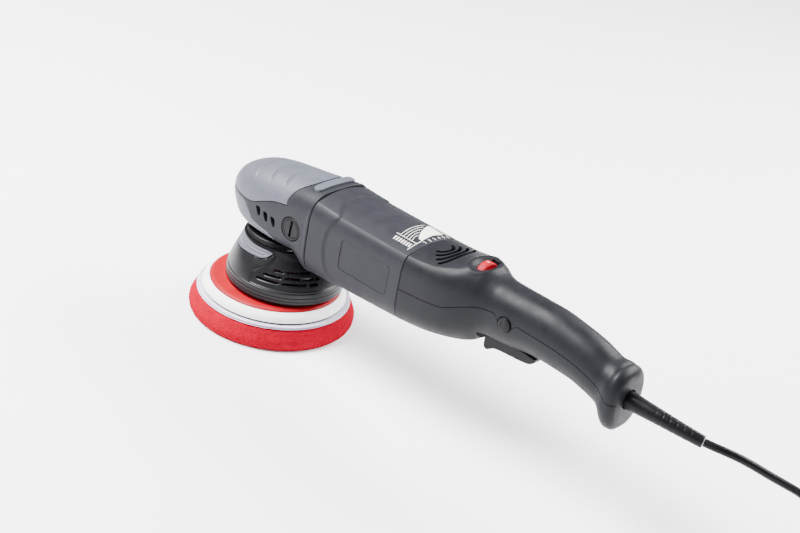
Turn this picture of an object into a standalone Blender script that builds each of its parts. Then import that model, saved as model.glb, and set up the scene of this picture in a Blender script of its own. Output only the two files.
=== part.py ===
"""A dual action polisher, built as the separate pieces it comes apart into.

The frame's origin is the point of the foam pad's working face on the drive spindle's axis. +Z runs up the
spindle, +X runs back along the motor to the handle. Tables and dimensions are in millimetres, with heights
measured from a datum SETTLE below the working face: the face's own level before the tool's weight presses
the foam. Every mesh is lowered by SETTLE and scaled to metres as it is made.
"""
import math

import bmesh
import bpy
import numpy as np
from mathutils import Matrix, Vector

MM = 0.001
GAP = 0.3                       # clearance between two pieces that touch
SETTLE = 3.0                    # how far the tool's weight presses the foam

# Driving dimensions
PLATE_RADIUS = 62.5             # 125 mm backing plate
THROW = 15.0                    # diameter of the pad's orbit
ORBIT_PHASE = 220.0             # direction of the pad's axis from the spindle at rest, degrees
FOAM_TOP = 21.6
FOAM_RADIUS = 71.7
LOOP_RADIUS = 65.6
RED_DISC_RADIUS = 56.4
RED_DISC_TOP = 33.0
SHROUD_RIM = 36.8               # height of the shroud's lower edge
NECK_HEIGHT = 82.0              # where the gear head meets the neck seal
MOTOR_HEIGHT = 108.0            # the motor shaft's axis
WALL = 3.0
HEAD_SEAM = 48.4                # gear head meets motor housing
REAR_SEAM = 148.4               # motor housing meets the rear shells
CORD_DIAMETER = 6.4
PINION_TEETH = 7
GEAR_TEETH = 28

# The orbiting axis at rest
ORBIT_X = THROW / 2 * math.cos(math.radians(ORBIT_PHASE))
ORBIT_Y = THROW / 2 * math.sin(math.radians(ORBIT_PHASE))

# Cross-sections of the body behind the gear head, each a superellipse whose top can be a flat facet.
# x, facet corner, half width, exponent, top, middle, bottom, facet share
BODY_SECTIONS = [
    (48, 29.0, 35.2, 3.7, 142.9, 108.0, 69.5, 1.0),
    (57, 29.0, 35.2, 3.7, 142.5, 108.0, 69.5, 1.0),
    (70, 28.7, 34.3, 3.9, 140.6, 110.0, 71.5, 1.0),
    (80, 28.5, 34.0, 4.0, 140.0, 110.0, 72.0, 1.0),
    (148, 28.5, 33.7, 4.0, 140.3, 110.5, 75.5, 1.0),
    (170, 27.0, 33.3, 3.8, 141.5, 111.0, 77.5, 1.0),
    (188, 22.0, 31.5, 3.2, 145.5, 112.0, 79.5, 0.9),
    (200, 17.0, 28.5, 2.8, 149.0, 114.0, 81.5, 0.7),
    (210, 14.0, 25.0, 2.6, 148.0, 116.0, 85.0, 0.4),
    (218, 12.0, 22.0, 2.4, 144.5, 118.0, 91.0, 0.1),
    (226, 12.0, 20.5, 2.3, 143.0, 119.0, 94.5, 0),
    (240, 12.0, 19.8, 2.3, 142.7, 119.7, 96.0, 0),
    (270, 11.0, 18.9, 2.2, 143.0, 121.0, 99.5, 0),
    (300, 11.0, 18.4, 2.2, 139.4, 118.6, 98.5, 0),
    (315, 11.0, 18.3, 2.2, 136.2, 115.6, 95.8, 0),
    (323, 11.0, 18.2, 2.2, 133.6, 113.0, 93.6, 0),
    (329, 11.0, 18.3, 2.2, 131.4, 111.0, 91.3, 0),
    (333, 11.0, 19.1, 2.3, 130.6, 109.3, 87.0, 0),
    (337, 11.0, 20.5, 2.4, 130.4, 107.6, 80.5, 0),
    (341, 11.0, 21.0, 2.5, 129.8, 106.0, 78.2, 0),
    (345, 11.0, 20.4, 2.5, 128.6, 105.0, 78.6, 0),
    (348.5, 10.0, 17.2, 2.4, 125.2, 104.6, 82.5, 0),
]
# Cross-sections of the gear head: x, half width, upper exponent, lower exponent, top, middle, bottom
HEAD_SECTIONS = [
    (-61.5, 6.0, 2.0, 2.0, 116.0, 109.5, 103.0),
    (-59.5, 12.5, 2.0, 2.0, 119.0, 109.0, 98.0),
    (-54.0, 20.5, 2.1, 2.1, 124.5, 108.0, 91.5),
    (-46.0, 26.5, 2.2, 2.5, 129.5, 107.0, 86.0),
    (-36.0, 30.5, 2.3, 3.4, 133.5, 106.0, NECK_HEIGHT),
    (-20.0, 33.3, 2.4, 5.0, 137.0, 105.5, NECK_HEIGHT),
    (0.0, 34.5, 2.6, 5.5, 139.3, 105.5, NECK_HEIGHT),
    (16.0, 35.0, 2.9, 5.0, 140.6, 106.0, NECK_HEIGHT),
    (28.0, 35.2, 3.3, 4.2, 141.5, 107.0, NECK_HEIGHT),
    (37.0, 35.2, 3.6, 3.7, 142.3, 108.0, 75.5),
    (44.0, 35.2, 3.7, 3.7, 142.9, 108.0, 69.8),
    (48.1, 35.2, 3.7, 3.7, 142.9, 108.0, 69.5),
]
# Side outline of the rubber cover over the gear head, and of the rubber pad under the nose, as x, z
TOP_COVER_OUTLINE = [
    (-75, 108.5), (-46, 108.8), (-34, 107.5), (-25, 107.5), (-17, 109), (-5, 115), (6, 119.6), (14, 121.3),
    (21.5, 122.6), (20, 126), (21.5, 132), (23.5, 136), (27, 139.5), (31, 142), (31, 155), (-75, 155),
]
NOSE_PAD_OUTLINE = [
    (-75, 107.5), (-46, 107.8), (-36, 106.4), (-28, 105.4), (-20.5, 99), (-16, 94), (-8, 92.2), (3, 91.5),
    (10, 88.5), (13.2, 85.7), (-9, 84.9), (-75, 84.9),
]
# Outer profile of the shroud, from its rim up to the neck: radius, height, shift of the centre along X
SHROUD_PROFILE = [
    (50.0, SHROUD_RIM, 0), (51.0, 38.2, 0), (51.2, 42, 0), (50.9, 46.5, 0), (49.8, 50.5, 0), (46.8, 58.5, -0.5),
    (44.6, 63.0, -1.0), (41.0, 69.0, -2.0), (38.0, 74.5, -3.5), (37.0, 76.8, -4.0),
]
SHROUD_INSERT_ROWS = (6, 8)     # rows of SHROUD_PROFILE between which the rubber insert lies
SHROUD_INSERT_SPAN = (78, 282)  # directions between which it wraps the front, degrees
SHROUD_SLOTS = [(48.5, 54.6, 10, 79), (46.5, 58.9, 8, 72), (44.2, 63.4, 17, 61)]    # radius, height, directions
SLOT_DEPTH = 8.0
SLOT_HALF = 1.0

# The free cord from the strain relief to its coil, and from the coil to the plug
CORD_ROUTE = [
    (410.3, 8.4, 100.2), (417.5, 10.4, 99.8), (424.3, 13.5, 98.9), (433.8, 19.6, 96.3), (443.3, 27.5, 91.6),
    (452.4, 36.5, 85.6), (461.2, 47.5, 78.6), (469.2, 59.5, 70.7), (475.8, 69.2, 62), (481.6, 77.6, 51.8),
    (486.6, 84.9, 40.8), (491.0, 91.3, 30.2), (495.3, 97.6, 20.6), (499.8, 104.1, 13.2), (504.2, 110.5, 9.0),
]
TAIL_ROUTE = [
    (611.4, 86.9, 17.5), (611.8, 75.0, 12.6), (608.6, 62.0, 9.0), (601.4, 50.4, 8.4), (592.0, 41.8, 9.8),
    (583.0, 38.0, 11.0), (574.5, 38.0, 11.0),
]
COIL_CENTRE = (559.0, 105.0)
COIL_RADIUS = 38.4              # at the middle of the turns
COIL_BUNDLE = 12.9              # half the width and height of the wound bundle
TIE_DIRECTION = 90.0            # where the tie holds the coil, degrees round it
TIE_WIDTH = 9.0
TIE_THICKNESS = 1.2
TIE_SLACK = 0.9                 # clearance towards the coil's centre, where its inside curves away
PLUG_REAR = (574.0, 38.0)


# ---------------------------------------------------------------- materials

def material(name, colour, roughness, metallic=0.0):
    found = bpy.data.materials.new(name)
    found.use_nodes = True
    shader = found.node_tree.nodes["Principled BSDF"]
    shader.inputs["Base Color"].default_value = (*colour, 1.0)
    shader.inputs["Roughness"].default_value = roughness
    shader.inputs["Metallic"].default_value = metallic
    found.diffuse_color = (*colour, 1.0)
    return found


PALETTE = {
    "graphite": ((0.12, 0.12, 0.135), 0.45, 0.0),
    "charcoal": ((0.055, 0.058, 0.068), 0.5, 0.0),
    "black": ((0.02, 0.02, 0.024), 0.35, 0.0),
    "grey_rubber": ((0.36, 0.37, 0.41), 0.6, 0.0),
    "red": ((0.72, 0.03, 0.05), 0.4, 0.0),
    "white": ((0.85, 0.85, 0.84), 0.55, 0.0),
    "foam": ((0.75, 0.03, 0.07), 0.9, 0.0),
    "loop": ((0.78, 0.74, 0.86), 0.9, 0.0),
    "steel": ((0.55, 0.55, 0.56), 0.3, 1.0),
    "copper": ((0.72, 0.33, 0.16), 0.4, 1.0),
    "laminate": ((0.3, 0.3, 0.32), 0.5, 1.0),
    "carbon": ((0.05, 0.05, 0.05), 0.7, 0.0),
    "board": ((0.05, 0.25, 0.1), 0.5, 0.0),
    "brass": ((0.75, 0.55, 0.2), 0.35, 1.0),
}


def finish(name, mesh, colour):
    """Link a mesh as a named object with its own material and smooth round stretches."""
    mesh.shade_smooth()
    mesh.set_sharp_from_angle(angle=math.radians(35))
    mesh.materials.append(material(name, *PALETTE[colour]))
    made = bpy.data.objects.new(name, mesh)
    bpy.context.scene.collection.objects.link(made)
    return made


# ---------------------------------------------------------------- mesh building

def mesh_from(name, points, faces):
    """A closed mesh in metres, with its faces turned outwards."""
    bm = bmesh.new()
    made = [bm.verts.new(Vector((x, y, z - SETTLE)) * MM) for x, y, z in points]
    for face in faces:
        bm.faces.new([made[index] for index in face])
    bmesh.ops.connect_verts_nonplanar(bm, angle_limit=0.002, faces=bm.faces)
    bmesh.ops.recalc_face_normals(bm, faces=bm.faces)
    mesh = bpy.data.meshes.new(name)
    bm.to_mesh(mesh)
    bm.free()
    return mesh


def bridge(rings, closed):
    """Quads between successive rings of equal count; closed joins the last ring to the first."""
    count = len(rings[0])
    faces = []
    for row in range(len(rings) if closed else len(rings) - 1):
        low = row * count
        high = (row + 1) % len(rings) * count
        for step in range(count):
            after = (step + 1) % count
            faces.append((low + step, low + after, high + after, high + step))
    return faces


def loft(name, rings, colour):
    """A solid through closed rings, with a flat face at each end."""
    count = len(rings[0])
    faces = bridge(rings, closed=False)
    faces.append(tuple(range(count)))
    faces.append(tuple(range((len(rings) - 1) * count, len(rings) * count)))
    return finish(name, mesh_from(name, np.concatenate(rings), faces), colour)


def tube(name, rings, colour):
    """A ring-shaped solid through closed loops, the last joined to the first."""
    return finish(name, mesh_from(name, np.concatenate(rings), bridge(rings, closed=True)), colour)


def axis_frame(axis):
    """The two directions across an axis named X, Y or Z, and the axis itself."""
    names = {"X": (1, 2, 0), "Y": (2, 0, 1), "Z": (0, 1, 2)}
    first, second, along = names[axis]
    return first, second, along


def circle(radius, height, axis="Z", centre=(0, 0, 0), count=24):
    """A circle's points at a height along an axis through centre."""
    first, second, along = axis_frame(axis)
    angles = np.arange(count) * 2 * math.pi / count
    points = np.tile(np.array(centre, dtype=float), (count, 1))
    points[:, first] += radius * np.cos(angles)
    points[:, second] += radius * np.sin(angles)
    points[:, along] = height
    return points


def turned(name, profile, colour, axis="Z", centre=(0, 0, 0), count=24):
    """A solid of revolution. The profile lists radius and height, and its ends are closed by flat discs."""
    rings = [circle(radius, height, axis, centre, count) for radius, height in profile]
    return loft(name, rings, colour)


def washer(name, inner, outer, low, high, colour, axis="Z", centre=(0, 0, 0), count=24):
    """A plain ring between two radii and two heights along an axis."""
    corners = [(outer, low), (outer, high), (inner, high), (inner, low)]
    return tube(name, [circle(radius, height, axis, centre, count) for radius, height in corners], colour)


def block(name, low, high, colour):
    """A box between two corners."""
    xs, ys, zs = zip(low, high)
    ring = [(xs[0], ys[0]), (xs[1], ys[0]), (xs[1], ys[1]), (xs[0], ys[1])]
    rings = [np.array([(x, y, z) for x, y in ring]) for z in zs]
    return loft(name, rings, colour)


def prism(name, outline, low, high, colour):
    """A side outline of x, z points extruded along Y."""
    rings = [np.array([(x, y, z) for x, z in outline]) for y in (low, high)]
    return loft(name, rings, colour)


def boolean(target, operation, *tools):
    """Put Boolean modifiers on a solid; the tools become hidden wire helpers."""
    for tool in tools:
        tool.hide_render = True
        tool.display_type = "WIRE"
        modifier = target.modifiers.new(operation.lower(), "BOOLEAN")
        modifier.operation = operation
        modifier.object = tool
    return target


def cut(target, *tools):
    return boolean(target, "DIFFERENCE", *tools)


# ---------------------------------------------------------------- cross-sections

def smooth_row(table, x):
    """A row of a table at x, read from a monotone cubic through its rows."""
    table = np.array(table, dtype=float)
    xs, values = table[:, 0], table[:, 1:]
    steps = np.diff(xs)[:, None]
    slopes = np.diff(values, axis=0) / steps
    tangents = np.zeros_like(values)
    tangents[0], tangents[-1] = slopes[0], slopes[-1]
    product = slopes[1:] * slopes[:-1]
    total = slopes[1:] + slopes[:-1]
    same_way = product > 0
    tangents[1:-1][same_way] = 2 * product[same_way] / total[same_way]
    row = int(np.clip(np.searchsorted(xs, x) - 1, 0, len(xs) - 2))
    t = (x - xs[row]) / (xs[row + 1] - xs[row])
    step = xs[row + 1] - xs[row]
    return ((2 * t ** 3 - 3 * t ** 2 + 1) * values[row] + (t ** 3 - 2 * t ** 2 + t) * step * tangents[row]
            + (3 * t ** 2 - 2 * t ** 3) * values[row + 1] + (t ** 3 - t ** 2) * step * tangents[row + 1])


def spaced(points, count):
    """Points spaced evenly along a polyline, both ends kept."""
    lengths = np.concatenate([[0], np.cumsum(np.linalg.norm(np.diff(points, axis=0), axis=1))])
    at = np.linspace(0, lengths[-1], count)
    return np.stack([np.interp(at, lengths, points[:, k]) for k in range(2)], axis=1)


def lower_half(width, exponent, middle, bottom, count=90):
    angles = np.linspace(0, math.pi / 2, count)
    return np.stack([width * np.cos(angles) ** (2 / exponent),
                     middle - (middle - bottom) * np.sin(angles) ** (2 / exponent)], axis=1)


def upper_half(width, exponent, middle, top, count=90):
    angles = np.linspace(0, math.pi / 2, count)
    return np.stack([width * np.sin(angles) ** (2 / exponent),
                     middle + (top - middle) * np.cos(angles) ** (2 / exponent)], axis=1)


def body_half_section(x):
    """Half a body section as the facet's points, then the side's, each y, z with y positive."""
    corner, width, exponent, top, middle, bottom, facet = smooth_row(BODY_SECTIONS, x)
    rise = top - middle
    corner_z = middle + rise * (1 - (corner / width) ** exponent) ** (1 / exponent)
    across = np.linspace(0, corner, 20)
    round_top = middle + rise * (1 - (across / width) ** exponent) ** (1 / exponent)
    flat_top = top - (top - corner_z) * (across / corner) ** 2
    facet_points = np.stack([across, facet * flat_top + (1 - facet) * round_top], axis=1)
    upper = upper_half(width, exponent, middle, top)
    side = np.concatenate([[facet_points[-1]], upper[upper[:, 0] > corner + 0.1],
                           lower_half(width, exponent, middle, bottom)[1:]])
    return facet_points, side


def split_at(side, height):
    """The side's points above a height and below it, both ending exactly on it."""
    above = side[side[:, 1] > height]
    below = side[side[:, 1] <= height]
    share = (above[-1, 1] - height) / (above[-1, 1] - below[0, 1])
    seam = above[-1] + (below[0] - above[-1]) * share
    return np.concatenate([above, [seam]]), np.concatenate([[seam], below])


def mirrored(half):
    """A path from the far side over the middle to the near side, from half a section's points."""
    return np.concatenate([half[::-1], half[1:] * (-1, 1)])


def inset(path, distance, closed):
    """A path moved inwards, where inwards is to its right as it runs."""
    if closed:
        along = np.roll(path, -1, axis=0) - np.roll(path, 1, axis=0)
    else:
        along = np.gradient(path, axis=0)
    along /= np.linalg.norm(along, axis=1)[:, None]
    return path + distance * np.stack([-along[:, 1], along[:, 0]], axis=1)


def full_loop(x, facet_count=4, side_count=9):
    """A closed loop of the whole body section at x."""
    facet, side = body_half_section(x)
    half = np.concatenate([spaced(facet, facet_count), spaced(side, side_count)[1:]])
    return mirrored(half)[:-1]


def place(path, x):
    """Section points y, z as x, y, z."""
    return np.array([(x, y, z) for y, z in path])


def head_half_section(x, count):
    width, up, low, top, middle, bottom = smooth_row(HEAD_SECTIONS, x)
    outline = np.concatenate([upper_half(width, up, middle, top), lower_half(width, low, middle, bottom)[1:]])
    return spaced(outline, count)


def head_loft(name, offset, stations, colour="graphite", count=12):
    """A solid of the gear head's outer shape, moved inwards by offset."""
    rings = []
    for x in stations:
        loop = mirrored(head_half_section(x, count))[:-1]
        rings.append(place(inset(loop, offset, closed=True), x))
    return loft(name, rings, colour)


# ---------------------------------------------------------------- the gear head

HEAD_STATIONS = [-61.5, -59.5, -54, -46, -36, -24, -10, 6, 20, 28, 33, 38, 44, 48.1]
VENT_PLACES = (-17.0, -9.5, -2.0)        # the three triangular vents on each side
PLUG_X, PLUG_Z = 29.7, 105.5             # the slotted plugs on both sides of the head
PLUG_FACE = 34.8


def skin_blank(name, outline, depth, low=-40.0, high=40.0):
    """The part of the gear head's skin inside a side outline, down to a depth: a pocket or its pad."""
    blank = prism(name, outline, low, high, "grey_rubber")
    core_stations = [x + 2.2 if x < -50 else x for x in HEAD_STATIONS[:-1]] + [60]
    core = head_loft(name + "_core", depth, core_stations)
    return cut(blank, core)


def shrink_outline(outline, distance):
    """A closed x, z outline moved inwards by a distance."""
    path = np.array(outline, dtype=float)
    before = path - np.roll(path, 1, axis=0)
    after = np.roll(path, -1, axis=0) - path
    before /= np.linalg.norm(before, axis=1)[:, None]
    after /= np.linalg.norm(after, axis=1)[:, None]
    area = np.sum(path[:, 0] * np.roll(path[:, 1], -1) - path[:, 1] * np.roll(path[:, 0], -1))
    turn = 1 if area > 0 else -1
    normal = turn * np.stack([-(before + after)[:, 1], (before + after)[:, 0]], axis=1)
    normal /= np.linalg.norm(normal, axis=1)[:, None]
    return [tuple(point) for point in path + distance * normal]


def gear_head():
    """The gear case: nose, collar and neck, hollow, with pockets for the rubber pieces."""
    head = head_loft("head_housing", 0, HEAD_STATIONS)
    chamber = turned("head_chamber", [(26.5, 92), (26.5, 120)], "graphite")
    motor_bore = turned("head_motor_bore", [(30.5, 20), (30.5, 60)], "graphite", axis="X",
                        centre=(0, 0, MOTOR_HEIGHT))
    neck_bore = turned("head_neck_bore", [(23.4, 70), (23.4, 93)], "graphite")
    upper_seat = turned("head_upper_seat", [(11.4, 119), (11.4, 130)], "graphite")
    cutters = [chamber, motor_bore, neck_bore, upper_seat]
    cutters.append(skin_blank("cover_pocket", TOP_COVER_OUTLINE, 2.4))
    cutters.append(skin_blank("nose_pocket", NOSE_PAD_OUTLINE, 2.4))
    cutters.append(strap_blank("strap_pocket", 0))
    for side in (-1, 1):
        cutters.append(turned(f"plug_bore_{side}", sorted_profile(10.4, PLUG_FACE - 3.2, 45, side), "graphite",
                              axis="Y", centre=(PLUG_X, 0, PLUG_Z), count=24))
        for number, x in enumerate(VENT_PLACES):
            cutters.append(vent_cutter(f"vent_{side}_{number}", x, side))
    return cut(head, *cutters)


def sorted_profile(radius, low, high, side):
    return [(radius, side * low), (radius, side * high)]


def vent_cutter(name, x, side):
    """One triangular vent through the side of the gear case."""
    slope = (x - VENT_PLACES[0]) * 0.33
    outline = [(x, 103.8 - slope), (x + 6.2, 101.6 - slope), (x + 3.6, 95.2 - slope)]
    low, high = sorted((side * 26.0, side * 40.0))
    return prism(name, outline, low, high, "graphite")


def strap_blank(name, clearance):
    """The rubber strap across the top of the collar."""
    rings = []
    for y in np.linspace(-21.5 + clearance, 21.5 - clearance, 9):
        top = 144.9 - 1.6 * (abs(y) / 21.5) ** 2.2
        front, rear = 34.8 + clearance, 42.6 - clearance
        low = top - 3.6 + clearance
        rings.append(np.array([(front, y, low), (rear, y, low), (rear, y, top), (front, y, top)]))
    return loft(name, rings, "grey_rubber")


def head_fittings():
    """The rubber pieces on the gear head, its plugs and the seal round its neck."""
    for name, outline in (("head_top_cover", TOP_COVER_OUTLINE), ("nose_pad", NOSE_PAD_OUTLINE)):
        piece = skin_blank(name, shrink_outline(outline, GAP), 1.7)
        skin = head_loft(name + "_skin", 0, HEAD_STATIONS)
        boolean(piece, "INTERSECT", skin)
    strap_blank("collar_strap", GAP)
    for side, name in ((-1, "side_plug_left"), (1, "side_plug_right")):
        plug = turned(name, sorted_profile(10.0, PLUG_FACE - 2.9, PLUG_FACE, side), "charcoal", axis="Y",
                      centre=(PLUG_X, 0, PLUG_Z))
        slot = block(name + "_slot", (PLUG_X - 0.8, side * PLUG_FACE - 1.4, PLUG_Z - 15),
                     (PLUG_X + 0.8, side * PLUG_FACE + 1.4, PLUG_Z + 15), "charcoal")
        cut(plug, slot)
    seal = [(33.0, 77.2), (33.6, 78.0), (33.6, 80.6), (33.0, NECK_HEIGHT - GAP), (28.5, NECK_HEIGHT - GAP),
            (28.5, 77.2)]
    tube("neck_seal", [circle(r, z, centre=(-5.5, 0, 0), count=36) for r, z in seal], "black")


# ---------------------------------------------------------------- the shroud

def shroud_profile(direction, pocket):
    """The shroud's closed outline in one direction, with the insert's pocket where pocket is set."""
    outer = []
    for row, (radius, height, shift) in enumerate(SHROUD_PROFILE):
        depth = 2.0 if pocket and SHROUD_INSERT_ROWS[0] <= row <= SHROUD_INSERT_ROWS[1] else 0.0
        outer.append((radius - depth, height, shift))
    inner = [(radius - WALL - 1.2, height, shift) for radius, height, shift in SHROUD_PROFILE[::-2]]
    inner.append((SHROUD_PROFILE[0][0] - WALL, SHROUD_RIM, 0))
    cosine, sine = math.cos(direction), math.sin(direction)
    return np.array([(shift + radius * cosine, radius * sine, height) for radius, height, shift in outer + inner])


def shroud():
    """The bell round the counterweight, with a shallow pocket for its insert and curved vents at the rear."""
    low, high = SHROUD_INSERT_SPAN
    inside = np.radians(np.linspace(low, high, 19))
    outside = np.radians(np.linspace(high + 1, low + 359, 15))
    rings = [shroud_profile(direction, True) for direction in inside]
    rings += [shroud_profile(direction, False) for direction in outside]
    bell = tube("shroud", rings, "black")
    slots = []
    for number, (radius, height, low, high) in enumerate(SHROUD_SLOTS):
        for side in (-1, 1):
            slots.append(curved_slot(f"shroud_slot_{number}_{side}", radius, height, low, high, side))
    return cut(bell, *slots)


def curved_slot(name, radius, height, low, high, side):
    """A cutter for one curved vent on the shroud's rear shoulder, between two directions."""
    rings = []
    for direction in np.radians(np.linspace(low, high, 9)) * side:
        cosine, sine = math.cos(direction), math.sin(direction)
        corners = [(radius - SLOT_DEPTH, height - SLOT_HALF), (radius + SLOT_DEPTH, height - SLOT_HALF),
                   (radius + SLOT_DEPTH, height + SLOT_HALF), (radius - SLOT_DEPTH, height + SLOT_HALF)]
        rings.append(np.array([(r * cosine, r * sine, z) for r, z in corners]))
    return loft(name, rings, "black")


def shroud_insert():
    """The rubber band let into the front of the shroud."""
    low, high = SHROUD_INSERT_SPAN
    rows = SHROUD_PROFILE[SHROUD_INSERT_ROWS[0]:SHROUD_INSERT_ROWS[1] + 1]
    rings = []
    for direction in np.radians(np.linspace(low + 1, high - 1, 19)):
        cosine, sine = math.cos(direction), math.sin(direction)
        outer = [(r + 0.2, z, s) for r, z, s in rows]
        outer[0] = (outer[0][0], outer[0][1] + 0.4, outer[0][2])
        outer[-1] = (outer[-1][0], outer[-1][1] - 0.4, outer[-1][2])
        inner = [(r - 1.7, z, s) for r, z, s in outer[::-1]]
        rings.append(np.array([(s + r * cosine, r * sine, z) for r, z, s in outer + inner]))
    return loft("shroud_insert", rings, "grey_rubber")


# ---------------------------------------------------------------- motor housing and rear shells

LABEL_LOW, LABEL_HIGH = (84.5, 95.5), (137.0, 121.5)      # the label recess on each side, as x, z


def motor_housing():
    stations = [HEAD_SEAM, 57, 63, 70, 80, 114, REAR_SEAM - GAP]
    outer = [place(full_loop(x), x) for x in stations]
    inner = [place(inset(full_loop(x), WALL, closed=True), x) for x in stations[::-1]]
    housing = tube("motor_housing", outer + inner, "graphite")
    for side in (-1, 1):
        low, high = sorted((side * 32.9, side * 40.0))
        recess = block(f"label_recess_{side}", (LABEL_LOW[0], low, LABEL_LOW[1]),
                       (LABEL_HIGH[0], high, LABEL_HIGH[1]), "graphite")
        cut(housing, recess)
    return housing


def label_plates():
    """The two label panels let into the sides of the motor housing."""
    for side, name in ((-1, "label_plate_left"), (1, "label_plate_right")):
        low, high = sorted((side * 33.1, side * 33.7))
        block(name, (LABEL_LOW[0] + GAP, low, LABEL_LOW[1] + GAP),
              (LABEL_HIGH[0] - GAP, high, LABEL_HIGH[1] - GAP), "charcoal")


# Height of the line where the rear shells meet
SPLIT_LINE = [(148, 107.6), (188, 111.0), (208, 119.0), (220, 121.5), (240, 119.7), (270, 122.0), (285, 121.2),
              (300, 119.7), (315, 116.8), (325, 113.6), (335, 109.6), (339, 107.0), (342.3, 104.9), (350, 104.9)]
REAR_STATIONS = [REAR_SEAM, 166, 180, 190, 200, 208, 214, 220, 228, 242, 256, 270, 285, 300, 315, 323, 329, 333, 337,
                 342]
END_WALL_STATIONS = [342.3, 345, 348.5]
GLAND_RADIUS = 8.0
GLAND_HEIGHT = 104.9


def split_height(x):
    return float(np.interp(x, [row[0] for row in SPLIT_LINE], [row[1] for row in SPLIT_LINE]))


def half_path(x, upper, facet_count=3, side_count=5):
    """The open path of one rear shell's outside at x, from far side to near side."""
    facet, side = body_half_section(x)
    seam = split_height(x)
    if upper:
        above, _ = split_at(side, seam + GAP / 2)
        return mirrored(np.concatenate([spaced(facet, facet_count), spaced(above, side_count)[1:]]))
    _, below = split_at(side, seam - GAP / 2)
    return mirrored(spaced(below, facet_count + side_count - 1)[::-1])


def end_wall_path(upper, count):
    """The edge of the cord's hole through the end wall, matched to the outside path point for point."""
    seam = GLAND_HEIGHT + (GAP / 2 if upper else -GAP / 2)
    angles = np.linspace(0, math.pi, count)
    turn = 1 if upper else -1
    return np.stack([GLAND_RADIUS * np.cos(angles), seam + turn * GLAND_RADIUS * np.sin(angles)], axis=1)


def rear_shell(name, upper):
    rings = []
    for x in REAR_STATIONS + END_WALL_STATIONS:
        outer = half_path(x, upper)
        if x in END_WALL_STATIONS:
            inner = end_wall_path(upper, len(outer))
        else:
            inner = inset(outer, WALL if upper else -WALL, closed=False)
            inner[0, 1] = outer[0, 1]
            inner[-1, 1] = outer[-1, 1]
        rings.append(place(np.concatenate([outer, inner[::-1]]), x))
    return loft(name, rings, "charcoal")


BUTTON_X, BUTTON_Z, BUTTON_RADIUS = 242.5, 119.5, 5.6
DIAL_X, DIAL_Z, DIAL_RADIUS, DIAL_WIDTH = 203.0, 137.2, 12.4, 8.0
REAR_VENTS = [(161.5, 8.8), (165.8, 13.3), (170.2, 17.5), (174.5, 21.0)]     # front edge and half length
REAR_VENT_WIDTH = 2.2


def rear_shells():
    """The upper and lower halves of the rear housing and handle, with their openings."""
    upper = rear_shell("rear_upper_shell", True)
    lower = rear_shell("rear_lower_shell", False)
    for shell in (upper, lower):
        hole = turned(shell.name + "_button_hole", [(BUTTON_RADIUS + 0.4, -30), (BUTTON_RADIUS + 0.4, -11)],
                      "charcoal", axis="Y", centre=(BUTTON_X, 0, BUTTON_Z))
        cut(shell, hole)
    recess_rings = [circle(1.0, height, count=20) * (8.5 * grow, 12.0 * grow, 1) + (DIAL_X, 0, 0)
                    for height, grow in ((145.8, 0.9), (155.0, 1.25))]
    recess = loft("dial_recess", recess_rings, "charcoal")
    slot = block("dial_slot", (DIAL_X - 4.6, -10.9, 139.5), (DIAL_X + 4.6, 10.9, 154), "charcoal")
    cut(upper, recess, slot)
    for number, (x, reach) in enumerate(REAR_VENTS):
        vent = block(f"rear_vent_{number}", (x, -reach, 132), (x + REAR_VENT_WIDTH, reach, 155), "charcoal")
        cut(upper, vent)
    outline = [(-30, 70), (30, 70), (30, 100), (TRIGGER_SLOT, 100), (TRIGGER_SLOT, 112), (-TRIGGER_SLOT, 112),
               (-TRIGGER_SLOT, 100), (-30, 100)]
    cut(lower, loft("trigger_clearance", [place(outline, x) for x in TRIGGER_OPENING], "charcoal"))


# ---------------------------------------------------------------- controls

TRIGGER_PIVOT = (264.0, 104.0)
TRIGGER_OPENING = (217.8, 270.5)         # room along X for the trigger's whole swing
TRIGGER_SLOT = 8.9                       # half the width of the slot that it swings up into
TRIGGER_SHOE = [(220.0, 99.3), (219.8, 90), (220.5, 85.2), (223.5, 84), (226.5, 87), (230, 90.6), (236, 92),
                (256, 93.6), (264, 94.8), (268.5, 98), (269, 99.3)]
TRIGGER_WEB = [(221, 98), (268, 98), (268.5, 106.5), (262, 108), (232, 106), (223, 104.5)]


def controls():
    """Trigger on its pin, lock button, speed dial and the electrics they work."""
    trigger = prism("trigger", TRIGGER_SHOE, -8.2, 8.2, "black")
    web = prism("trigger_web", TRIGGER_WEB, -6.4, 6.4, "black")
    boolean(trigger, "UNION", web)
    bore = turned("trigger_bore", [(1.9, -20), (1.9, 20)], "black", axis="Y",
                  centre=(TRIGGER_PIVOT[0], 0, TRIGGER_PIVOT[1]), count=12)
    cut(trigger, bore)
    turned("trigger_pin", [(1.6, -TRIGGER_SLOT + GAP), (1.6, TRIGGER_SLOT - GAP)], "steel", axis="Y",
           centre=(TRIGGER_PIVOT[0], 0, TRIGGER_PIVOT[1]), count=12)
    turned("lock_button", [(BUTTON_RADIUS - 1.0, -21.0), (BUTTON_RADIUS, -20.2), (BUTTON_RADIUS, -15.5)], "black",
           axis="Y", centre=(BUTTON_X, 0, BUTTON_Z), count=20)
    rim = DIAL_RADIUS
    half = DIAL_WIDTH / 2
    turned("speed_dial", [(rim - 0.8, DIAL_X - half), (rim, DIAL_X - half + 0.8), (rim, DIAL_X + half - 0.8),
                          (rim - 0.8, DIAL_X + half)], "red", axis="X", centre=(0, 0, DIAL_Z), count=32)
    block("trigger_switch", (228, -9.5, 114), (260, 9.5, 134), "black")
    block("speed_control_board", (160, -20, 118), (196, 20, 121), "board")
    block("cord_clamp", (331, -10, 96), (337, 10, 100.5), "black")


# ---------------------------------------------------------------- gears and drive

ADDENDUM = 1.3                  # height of a tooth above the pitch cone, at the large end
DEDENDUM = 1.65


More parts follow.
